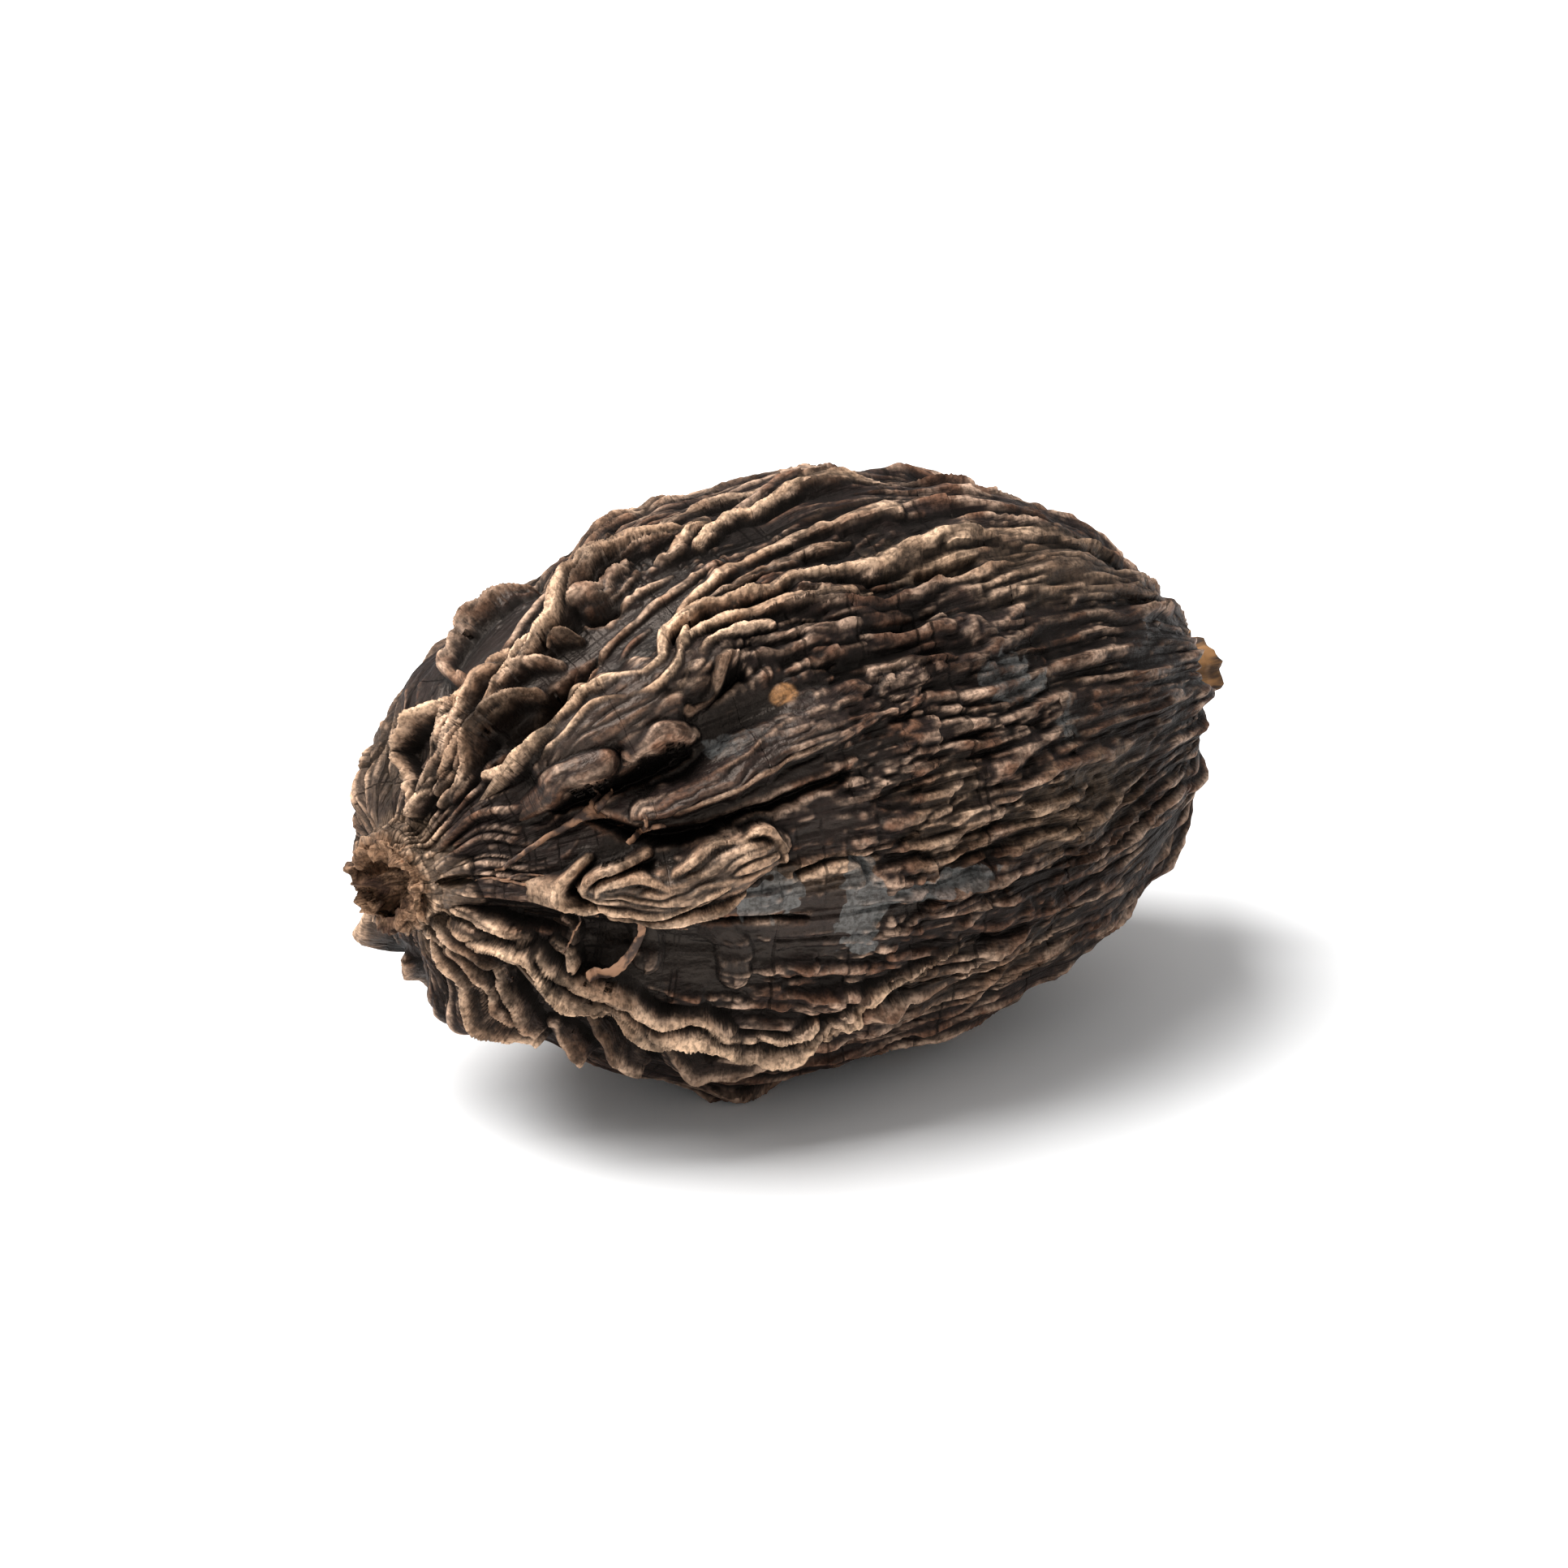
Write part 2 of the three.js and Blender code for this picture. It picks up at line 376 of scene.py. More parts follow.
LOBES = (
    Swelling(1.2, 176, -0.4, 1.0, 1.1),
    Swelling(4.0, -72, 0.8, 1.3, 1.4),
    Swelling(6.2, -42, 0.35, 1.1, 1.2),
    Swelling(7.6, -50, 0.5, 1.4, 1.5),
    Swelling(5.0, 178, 0.7, 1.2, 1.4),
    Swelling(5.0, 172, 0.5, 1.2, 1.4),
    Swelling(5.4, -128, 0.7, 1.8, 1.8),
    Swelling(9.5, -95, 0.5, 2.2, 2.4),
    Swelling(11.8, -25, -0.4, 0.8, 1.6),
    Swelling(9.0, -17, -0.15, 2.2, 1.1),
    Swelling(3.8, -10, -0.8, 0.8, 0.5),
    Swelling(6.0, -15, -0.8, 0.5, 0.9),
    Swelling(7.8, 20.5, -1.2, 0.9, 0.6),
    Swelling(6.5, 25, -1.3, 0.9, 0.45),
    Swelling(10.5, 20, -0.3, 2.6, 1.6),
    Swelling(11.5, 51, -0.5, 1.6, 0.9),
    Swelling(5.8, 58, -0.6, 1.6, 0.7),
    Swelling(9.2, 55, -0.7, 1.5, 0.6),
    Swelling(4.2, 92, -0.35, 1.6, 0.6),
    Swelling(7.3, 100, -0.9, 1.9, 1.0),
    Swelling(10.5, 102, -0.7, 2.2, 1.2),
    Swelling(5.0, 129, -0.8, 1.6, 0.8),
    Swelling(9.0, 133, -0.7, 2.5, 0.9),
    Swelling(13.0, 138, -0.5, 3.0, 1.0),
    Swelling(14.0, 100, -0.2, 3.0, 2.0),
    Swelling(14.1, 47.2, 0.28, 0.36, 0.26),
)

FOLDS = (
    # the smooth pads beside the mouth, with a dark fold between them
    Fold(((0.5, 58, 0.3, 0.35), (1.0, 60, 0.45, 0.42), (1.8, 62, 0.4, 0.4), (2.6, 63, 0.15, 0.35)),
         Section.PLUMP, knobs=0.0, strands=0.03, tan=0.5),
    Fold(((0.5, 92, 0.3, 0.4), (1.0, 90, 0.45, 0.5), (1.8, 87, 0.4, 0.45), (2.8, 84, 0.15, 0.4)),
         Section.PLUMP, knobs=0.0, strands=0.03, tan=0.5),
    Fold(((1.1, 73, -0.2, 0.16), (1.8, 73.5, -0.5, 0.2), (2.6, 73.5, -0.45, 0.2),
          (3.6, 74, -0.2, 0.2)), strands=0.0),
    # the crown fold: left strand, main rope and right strand
    Fold(((2.8, 6, 0.3, 0.22), (3.9, 6, 0.6, 0.26), (5.0, 3, 0.75, 0.3), (6.0, 0, 0.8, 0.3),
          (7.0, -1, 0.8, 0.3), (7.8, 0, 0.6, 0.28)), strands=0.24, tan=0.5),
    Fold(((3.4, -2, 0.3, 0.2), (4.4, -3, 0.6, 0.22), (5.4, -4, 0.7, 0.24), (6.4, -5, 0.6, 0.24),
          (7.2, -5, 0.3, 0.22)), strands=0.2, tan=0.4),
    Fold(((2.2, 4, 0.3, 0.24), (3.2, 9, 0.5, 0.3), (4.2, 12, 0.8, 0.36), (5.2, 10, 0.9, 0.4),
          (6.2, 6, 0.95, 0.44), (7.2, 4, 1.0, 0.46), (8.2, 4, 1.05, 0.5), (9.2, 3, 1.15, 0.55),
          (10.2, -1, 1.2, 0.6), (11.2, -5, 1.15, 0.6), (12.2, -7, 1.1, 0.58),
          (13.2, -6, 0.95, 0.5), (14.2, -4, 0.75, 0.42), (15.0, -2, 0.6, 0.38),
          (16.0, -1, 0.45, 0.32)), lean=0.15, knobs=0.3, strands=0.42, tan=0.65),
    Fold(((2.8, 20, 0.3, 0.24), (3.8, 22, 0.7, 0.28), (4.8, 18, 0.95, 0.34), (5.8, 14, 1.05, 0.42),
          (6.8, 13, 0.9, 0.28), (7.5, 14, 0.5, 0.2)), lean=0.0, strands=0.26, tan=0.5),
    Fold(((3.0, 14, 0.2, 0.2), (3.8, 16, 0.5, 0.22), (4.6, 14, 0.6, 0.22), (5.4, 10, 0.5, 0.2)),
         strands=0.17, tan=0.4),
    # pleats that hang from the crown fold
    Fold(((7.6, 5, 0.8, 0.2), (8.2, 8.5, 0.9, 0.24), (8.7, 12, 0.5, 0.16)), strands=0.2, tan=0.4),
    Fold(((8.8, 4, 0.8, 0.2), (9.4, 7.5, 0.8, 0.22), (9.7, 10, 0.4, 0.16)), lean=0.1,
         strands=0.2, tan=0.4),
    # the hooked tooth and the knobs behind it
    Fold(((9.9, 0, 0.9, 0.4), (10.7, 2, 0.65, 0.5), (11.5, 3, 0.5, 0.55),
          (12.2, 1, 0.5, 0.5), (12.8, -1, 0.5, 0.4)), strands=0.6, tan=0.1),
    Fold(((13.6, 3, 0.4, 0.28), (14.2, 3, 0.65, 0.33), (15.0, 1, 0.65, 0.33),
          (15.9, -1, 0.5, 0.3)), knobs=0.4, tan=0.7),
    Fold(((15.0, 5, 0.3, 0.24), (15.7, 3, 0.55, 0.27), (16.7, 0, 0.6, 0.3), (17.6, 0.5, 0.55, 0.3),
          (19.0, -1, 0.55, 0.3), (20.5, -2, 0.5, 0.3), (22.5, -1, 0.3, 0.3)), tan=0.95),
    Fold(((14.6, -6, 0.3, 0.25), (16.0, -8, 0.5, 0.28), (17.5, -10, 0.45, 0.28),
          (19.5, -9, 0.3, 0.28)), tan=0.5),
    # the thin ridges of the calm valley beside the crown fold
    Fold(((7.8, 25, 0.1, 0.2), (8.6, 22.5, 0.28, 0.2), (9.5, 19.5, 0.32, 0.18), (10.2, 17, 0.34, 0.18),
          (11.0, 15.5, 0.3, 0.18), (12.0, 14, 0.3, 0.18), (13.0, 13.5, 0.28, 0.2),
          (14.2, 12, 0.2, 0.2)), lean=0.08, knobs=0.3, strands=0.09, tan=0.3),
    Fold(((12.0, 22, 0.1, 0.16), (12.9, 19, 0.26, 0.18), (14.0, 17.5, 0.32, 0.2),
          (15.0, 16, 0.35, 0.22), (16.0, 15, 0.4, 0.26), (17.0, 14, 0.45, 0.28),
          (18.0, 13, 0.45, 0.3), (19.5, 13, 0.4, 0.3), (21.5, 14, 0.25, 0.3)), strands=0.1,
         tan=0.7),
    Fold(((10.8, 11, 0.05, 0.16), (11.5, 9.5, 0.22, 0.16), (12.5, 8.5, 0.22, 0.18),
          (13.5, 8, 0.05, 0.16)), strands=0.07, tan=0.3),
    Fold(((10.2, 23, 0.05, 0.14), (10.8, 20.5, 0.18, 0.15), (11.6, 19, 0.05, 0.14)), strands=0.0),
    Fold(((13.6, 19.5, 0.05, 0.2), (14.6, 19.5, 0.25, 0.22), (16.0, 19, 0.3, 0.24),
          (17.6, 18.5, 0.32, 0.24), (19.2, 18, 0.15, 0.24)), tan=0.3),
    # the shoulder fold: it hooks up out of the hole, runs up, turns back on itself and goes on
    Fold(((4.5, 29, 0.3, 0.18), (4.9, 33, 0.75, 0.2), (5.4, 36, 1.0, 0.22), (6.1, 35.5, 1.05, 0.22),
          (6.9, 34, 1.0, 0.24), (7.7, 32, 0.95, 0.28), (8.6, 30.5, 0.95, 0.32),
          (9.5, 31.5, 1.0, 0.32), (10.3, 33.3, 1.05, 0.32), (10.9, 33, 1.1, 0.3),
          (11.2, 30.5, 1.15, 0.3), (11.5, 27.6, 1.15, 0.32), (12.1, 25.5, 1.05, 0.32),
          (12.9, 24.4, 0.95, 0.3), (13.6, 25.5, 0.85, 0.3), (14.5, 27, 0.75, 0.28),
          (15.5, 26.7, 0.7, 0.28), (16.5, 26.2, 0.65, 0.3), (18.0, 26.7, 0.6, 0.32),
          (19.5, 26.7, 0.6, 0.36), (21.0, 25, 0.65, 0.42), (22.5, 25, 0.6, 0.4),
          (24.5, 26, 0.5, 0.36), (27.0, 26, 0.35, 0.34), (30.0, 27, 0.15, 0.34)),
         lean=-0.1, knobs=0.12, strands=0.22, tan=0.85),
    Fold(((7.9, 29.5, 0.5, 0.22), (8.35, 28.6, 1.0, 0.3), (8.9, 29.3, 0.5, 0.22)), Section.PLUMP,
         strands=0.0, tan=0.9),
    Fold(((6.4, 38.5, 0.5, 0.2), (7.4, 36.3, 0.85, 0.22), (8.6, 34.8, 0.95, 0.24),
          (9.6, 35.8, 1.0, 0.24), (10.4, 36.8, 1.05, 0.24), (11.0, 35.8, 1.1, 0.24),
          (11.5, 33, 1.15, 0.24), (12.2, 30.5, 1.05, 0.24), (13.1, 29, 0.9, 0.24),
          (14.2, 30.2, 0.7, 0.24), (15.3, 30, 0.6, 0.26), (16.6, 31.5, 0.5, 0.26),
          (18.5, 32, 0.35, 0.26)), strands=0.17, tan=0.7),
    Fold(((7.4, 41, 0.3, 0.2), (8.6, 38.5, 0.7, 0.22), (9.6, 39, 0.85, 0.24), (10.5, 39.6, 0.9, 0.24),
          (11.2, 38.2, 0.95, 0.24), (11.7, 35.5, 1.0, 0.24), (12.4, 33, 0.95, 0.24),
          (13.4, 32.6, 0.75, 0.24), (14.6, 33.4, 0.5, 0.24)), strands=0.14, tan=0.55),
    Fold(((11.4, 34, 0.9, 0.24), (11.7, 31.5, 1.3, 0.3), (12.1, 29, 1.1, 0.28)), tan=0.9),
    # the plateau under the shoulder fold, which ends in a steep face
    Fold(((6.6, 40, 0.5, 0.6), (8.0, 37.5, 0.85, 1.1), (9.6, 37, 0.95, 1.4),
          (11.0, 36.5, 1.0, 1.4), (12.1, 34.5, 0.95, 1.1), (12.9, 32, 0.6, 0.7)), Section.PLUMP,
         lean=0.2, skew=-0.1, knobs=0.05, strands=0.1, tan=0.15),
    # the short plump fold under the shoulder
    Fold(((6.0, 48, 0.5, 0.4), (6.5, 46.5, 0.85, 0.55), (7.2, 46, 0.85, 0.6),
          (8.0, 46, 0.7, 0.5)), Section.PLUMP, lean=0.3, strands=0.03),
    Fold(((8.9, 47, 0.4, 0.35), (9.7, 46, 0.85, 0.5), (10.4, 46.4, 0.85, 0.5),
          (10.9, 48, 0.5, 0.35)), Section.PLUMP, lean=0.25, strands=0.03),
    Fold(((11.0, 43, 0.7, 0.3), (11.9, 40.5, 0.95, 0.4), (12.4, 37.5, 0.95, 0.4),
          (12.8, 35, 0.7, 0.35)), Section.PLUMP, lean=0.25, strands=0.05, tan=0.25),
    # the long plump fold along the flank
    Fold(((8.8, 63, 0.5, 0.5), (9.7, 62, 0.75, 0.75), (10.8, 61, 0.85, 0.85),
          (12.0, 59.5, 0.85, 0.9), (13.2, 57, 0.8, 0.9), (14.4, 56, 0.7, 0.95),
          (16.0, 55, 0.5, 0.95), (18.0, 53, 0.25, 0.9)), Section.PLUMP, lean=0.25, skew=-0.3,
         strands=0.09),
    Fold(((10.6, 58.5, 0.8, 0.2), (12.0, 56.5, 0.95, 0.22), (13.0, 54, 0.9, 0.22),
          (14.0, 52, 0.6, 0.2)), Section.SHARP, strands=0.05, tan=0.1),
    Fold(((9.7, 64, 0.8, 0.22), (10.9, 63.4, 0.98, 0.24), (12.0, 62, 0.95, 0.24),
          (13.4, 59.8, 0.85, 0.24), (15.0, 58.5, 0.6, 0.24)), strands=0.1, tan=0.3),
    # the flap on the flank: body, upper lip, lower layers, curled left end
    Fold(((6.6, 80, 0.7, 0.4), (7.5, 81.5, 0.95, 0.6), (8.5, 83, 1.0, 0.75), (9.5, 82, 1.0, 0.85),
          (10.3, 79.5, 1.1, 0.95), (11.0, 78, 1.15, 1.0), (11.8, 77.5, 1.15, 1.0),
          (12.3, 77.5, 0.8, 0.7)), Section.PLUMP, lean=0.1, strands=0.17, tan=0.6),
    Fold(((8.9, 80.5, 0.8, 0.18), (9.5, 78, 1.15, 0.2), (10.0, 75.5, 1.25, 0.22),
          (10.6, 73.3, 1.3, 0.22), (11.3, 73.5, 1.2, 0.2), (12.0, 72.5, 1.2, 0.24),
          (12.4, 75, 1.0, 0.26), (12.5, 79, 0.9, 0.24)), lean=-0.12,
         strands=0.07, tan=0.6),
    Fold(((6.7, 84, 0.7, 0.2), (7.6, 86, 0.95, 0.24), (8.5, 87.2, 1.0, 0.26),
          (9.3, 86, 1.0, 0.24), (10.0, 83.5, 1.1, 0.24), (10.7, 81.5, 1.15, 0.2)), lean=0.15,
         strands=0.14, tan=0.75),
    Fold(((7.2, 89, 0.5, 0.22), (8.3, 90, 0.8, 0.26), (9.5, 88.7, 0.9, 0.28),
          (10.5, 86.7, 0.9, 0.26), (11.2, 84.5, 0.8, 0.24)), lean=0.2, strands=0.14, tan=0.65),
    Fold(((6.7, 71.5, 0.5, 0.18), (6.3, 74, 0.9, 0.2), (5.9, 77, 1.1, 0.24), (5.75, 81, 1.1, 0.26),
          (5.9, 84, 1.0, 0.24), (6.4, 86, 0.8, 0.22), (7.0, 85.5, 0.6, 0.2)), lean=0.1,
         strands=0.14, tan=0.85),
    Fold(((6.5, 79.5, 0.8, 0.18), (6.7, 76.8, 1.05, 0.2), (7.2, 75, 1.05, 0.2),
          (7.9, 74.4, 0.85, 0.2), (8.5, 73, 0.5, 0.2)), tan=0.6),
    Fold(((6.9, 81, 0.8, 0.18), (7.1, 78.6, 1.1, 0.2), (7.8, 77.8, 1.15, 0.22),
          (8.5, 79, 1.1, 0.22), (9.0, 81, 1.0, 0.22)), tan=0.6),
    Fold(((6.05, 82, -0.7, 0.2), (6.35, 84.2, -0.9, 0.22), (6.8, 84.6, -0.4, 0.18)), strands=0.0),
    # the skirt fold low on the flank, its upper strands
    Fold(((1.9, 112, 0.35, 0.22), (2.5, 108.5, 0.5, 0.25), (3.3, 107.5, 0.7, 0.28),
          (4.0, 106, 0.85, 0.3), (4.6, 105.5, 0.9, 0.3), (5.1, 108.5, 1.0, 0.32),
          (5.8, 113, 1.05, 0.34), (6.4, 116, 1.1, 0.36), (7.0, 117, 1.1, 0.38),
          (7.7, 116.5, 1.1, 0.36), (8.4, 119, 1.1, 0.38), (9.2, 123, 1.15, 0.38),
          (9.8, 122.5, 1.05, 0.36), (10.7, 121.3, 1.05, 0.36), (11.5, 125, 1.05, 0.38),
          (12.2, 127.3, 1.05, 0.4), (13.0, 127.5, 1.0, 0.4), (14.0, 126, 0.95, 0.4),
          (15.0, 122, 0.7, 0.34), (16.0, 116, 0.45, 0.3), (17.5, 112, 0.3, 0.3),
          (19.0, 109, 0.1, 0.3)), lean=0.3, knobs=0.2, strands=0.27, tan=0.9),
    Fold(((4.9, 105, 0.4, 0.2), (5.6, 109.5, 0.75, 0.22), (6.4, 112.5, 0.85, 0.24),
          (7.2, 113.2, 0.85, 0.26), (8.0, 114.5, 0.9, 0.26), (8.8, 118, 0.9, 0.26),
          (9.4, 120, 0.85, 0.24), (10.4, 118.6, 0.75, 0.24), (11.2, 121, 0.75, 0.24),
          (12.1, 124.5, 0.8, 0.24), (13.2, 124.5, 0.7, 0.24), (14.4, 121.5, 0.5, 0.24)), lean=0.15,
         strands=0.14, tan=0.7),
    Fold(((1.6, 96, 0.1, 0.2), (2.3, 97, 0.4, 0.22), (3.2, 99.5, 0.5, 0.24), (3.9, 101.5, 0.55, 0.24),
          (4.6, 102, 0.4, 0.22)), tan=0.7),
    Fold(((5.4, 102.5, 0.3, 0.2), (5.9, 105.5, 0.55, 0.22), (6.1, 109, 0.7, 0.22)), tan=0.5),
    # lumps in the dark valley above the skirt fold
    Fold(((10.6, 97, 0.05, 0.5), (11.3, 102, 0.25, 0.6), (11.4, 109, 0.3, 0.6)), Section.PLUMP,
         knobs=0.4, strands=0.05),
    Fold(((5.6, 94.5, 0.2, 0.2), (5.9, 98, 0.45, 0.24), (6.0, 102, 0.45, 0.24)), strands=0.07),
    Fold(((8.0, 96, 0.05, 0.4), (8.3, 100, 0.2, 0.5), (8.4, 106, 0.3, 0.5)), Section.PLUMP,
         strands=0.05),
    # strands of the underside
    Fold(((1.0, 140, 0.3, 0.25), (1.8, 144, 0.5, 0.3), (2.6, 147, 0.75, 0.36), (3.4, 149.5, 0.9, 0.4),
          (4.2, 155, 1.0, 0.42), (5.0, 158, 1.0, 0.46), (6.0, 157, 0.9, 0.5),
          (6.8, 157, 0.6, 0.45)), Section.SHARP, strands=0.15, tan=0.7),
    Fold(((1.2, 127, 0.3, 0.25), (2.2, 125, 0.45, 0.28), (3.0, 125.5, 0.5, 0.28),
          (3.7, 128.5, 0.6, 0.3), (4.4, 137, 0.75, 0.32), (5.1, 142, 0.85, 0.36),
          (5.7, 147, 0.9, 0.4), (6.4, 151, 0.7, 0.4)), Section.SHARP, strands=0.12, tan=0.5),
    Fold(((2.4, 135, 0.3, 0.24), (3.2, 137, 0.5, 0.26), (4.0, 144, 0.6, 0.3), (4.8, 149, 0.7, 0.32),
          (5.6, 152, 0.6, 0.32)), Section.SHARP, tan=0.5),
    Fold(((7.2, 133, 0.4, 0.35), (7.7, 138, 0.8, 0.45), (8.3, 141, 0.9, 0.5), (9.1, 145, 0.95, 0.6),
          (10.0, 148, 0.8, 0.6)), Section.SHARP, knobs=0.25, tan=0.4),
    Fold(((6.7, 146, 0.5, 0.4), (7.5, 148, 0.8, 0.45), (8.3, 153, 0.8, 0.5)), Section.SHARP,
         knobs=0.25, tan=0.4),
    Fold(((9.8, 136, 0.5, 0.5), (10.8, 141, 0.8, 0.7), (12.0, 145, 0.8, 0.8), (13.5, 144, 0.7, 0.8),
          (15.0, 141, 0.5, 0.7)), Section.SHARP, knobs=0.35, strands=0.1, tan=0.3),
    # the far side of the crown: curled ridge, loop of the neck, valley threads
    Fold(((6.2, -4, 0.4, 0.2), (6.5, -11, 0.6, 0.22), (6.6, -18, 0.65, 0.24), (7.0, -25, 0.7, 0.26),
          (7.8, -29, 0.75, 0.3), (8.6, -30.5, 0.8, 0.33), (9.4, -29.5, 0.85, 0.33),
          (10.3, -27, 0.95, 0.4), (10.9, -25, 0.5, 0.36)), lean=0.05, strands=0.3, tan=0.2),
    Fold(((7.2, -4, 0.25, 0.2), (8.2, -7, 0.3, 0.22), (9.0, -9.5, 0.3, 0.22), (10.0, -12, 0.3, 0.22),
          (11.0, -14, 0.3, 0.26), (12.0, -16, 0.25, 0.3)), strands=0.0, tan=0.1),
    Fold(((6.1, -2, 0.6, 0.17), (5.6, -6, 0.75, 0.18), (5.1, -12, 0.85, 0.18), (4.6, -20, 0.9, 0.2),
          (4.1, -27, 0.8, 0.2), (3.75, -30, 0.7, 0.2)), strands=0.17, tan=0.9),
    Fold(((3.8, -30, 0.7, 0.2), (3.4, -23, 0.65, 0.2), (3.0, -14, 0.55, 0.2),
          (2.6, -5, 0.5, 0.2), (2.2, 1, 0.3, 0.2)), strands=0.17, tan=0.85),
    Fold(((3.1, -2, 0.3, 0.2), (3.9, -3, 0.6, 0.22), (4.7, -2, 0.7, 0.24), (5.3, -2, 0.5, 0.24)),
         tan=0.5),
    Fold(((12.3, -20, 0.4, 0.5), (13.4, -22, 0.85, 0.7), (15.0, -26, 0.9, 0.8), (17.0, -28, 0.7, 0.8),
          (19.0, -27, 0.5, 0.6), (23.0, -25, 0.35, 0.5)), knobs=0.25, strands=0.2, tan=0.3),
    # the far side
    Fold(((5.0, -62, 0.4, 0.6), (7.5, -70, 0.9, 0.8), (10.0, -64, 0.9, 0.9), (13.0, -58, 0.7, 0.8),
          (17.0, -62, 0.4, 0.7)), Section.PLUMP, lean=0.2, knobs=0.3, strands=0.09, tan=0.3),
    Fold(((3.0, -95, 0.4, 0.5), (5.5, -106, 0.9, 0.6), (7.5, -98, 1.1, 0.7), (9.5, -104, 1.0, 0.6),
          (12.0, -99, 0.8, 0.55), (15.0, -104, 0.5, 0.5), (19.0, -100, 0.3, 0.5)), lean=-0.3,
         knobs=0.25, strands=0.14, tan=0.6),
    Fold(((6.5, -84, 0.5, 0.5), (8.0, -82, 1.0, 0.8), (10.0, -86, 1.0, 0.8), (12.0, -83, 0.6, 0.6)),
         Section.PLUMP, lean=0.2, strands=0.05, tan=0.2),
    Fold(((3.0, -128, 0.4, 0.5), (5.0, -136, 0.9, 0.6), (7.0, -128, 1.0, 0.6), (9.5, -134, 0.9, 0.6),
          (12.5, -127, 0.7, 0.6), (16.0, -131, 0.4, 0.5)), lean=0.3, knobs=0.25, strands=0.14,
         tan=0.6),
    Fold(((4.0, -155, 0.4, 0.5), (6.0, -150, 0.7, 0.6), (9.0, -156, 0.6, 0.6), (12.0, -150, 0.4, 0.5)),
         knobs=0.25, strands=0.1, tan=0.4),
    Fold(((8.5, -112, 0.4, 0.5), (10.5, -117, 0.8, 0.7), (13.0, -112, 0.7, 0.7),
          (16.0, -117, 0.4, 0.6)), Section.PLUMP, lean=-0.2, strands=0.07, tan=0.3),
    # creases: under the plump folds, beside the flap, in the valleys
    Fold(((6.0, 53, -0.5, 0.3), (7.0, 53.5, -0.8, 0.4), (8.2, 53, -0.8, 0.4), (9.4, 52.5, -0.7, 0.4),
          (10.6, 51, -0.6, 0.4)), strands=0.0),
    Fold(((7.0, 60, -0.5, 0.3), (7.8, 66, -0.9, 0.4), (8.8, 70, -1.0, 0.4), (10.4, 70.3, -0.9, 0.35),
          (12.0, 68.8, -0.8, 0.3), (13.6, 67.3, -0.6, 0.3), (15.2, 65.5, -0.4, 0.28)), strands=0.0),
    Fold(((4.9, 27, -0.6, 0.35), (5.8, 28, -1.2, 0.4), (6.8, 25, -1.2, 0.5), (7.6, 20, -1.0, 0.5),
          (8.6, 18.5, -0.8, 0.4), (9.6, 18.5, -0.4, 0.3)), strands=0.0),
    Fold(((10.5, 6.5, -0.6, 0.28), (10.9, 8, -0.8, 0.32), (11.3, 8.5, -0.5, 0.3)), strands=0.0),
    Fold(((11.2, 42, -0.4, 0.4), (12.2, 41.5, -0.6, 0.4), (13.0, 40, -0.4, 0.4)), strands=0.0),
    Fold(((9.6, 93.5, -0.3, 0.2), (11.5, 94, -0.4, 0.2), (13.5, 95, -0.2, 0.2)), strands=0.0),
    Fold(((13.2, 84.5, -0.4, 0.22), (14.6, 82.5, -0.5, 0.22), (15.4, 84, -0.5, 0.22),
          (15.6, 87, -0.3, 0.2)), strands=0.0),
    Fold(((20.8, 31, -0.4, 0.4), (21.8, 31.5, -0.5, 0.45), (22.8, 31, -0.3, 0.4)), strands=0.0),
)

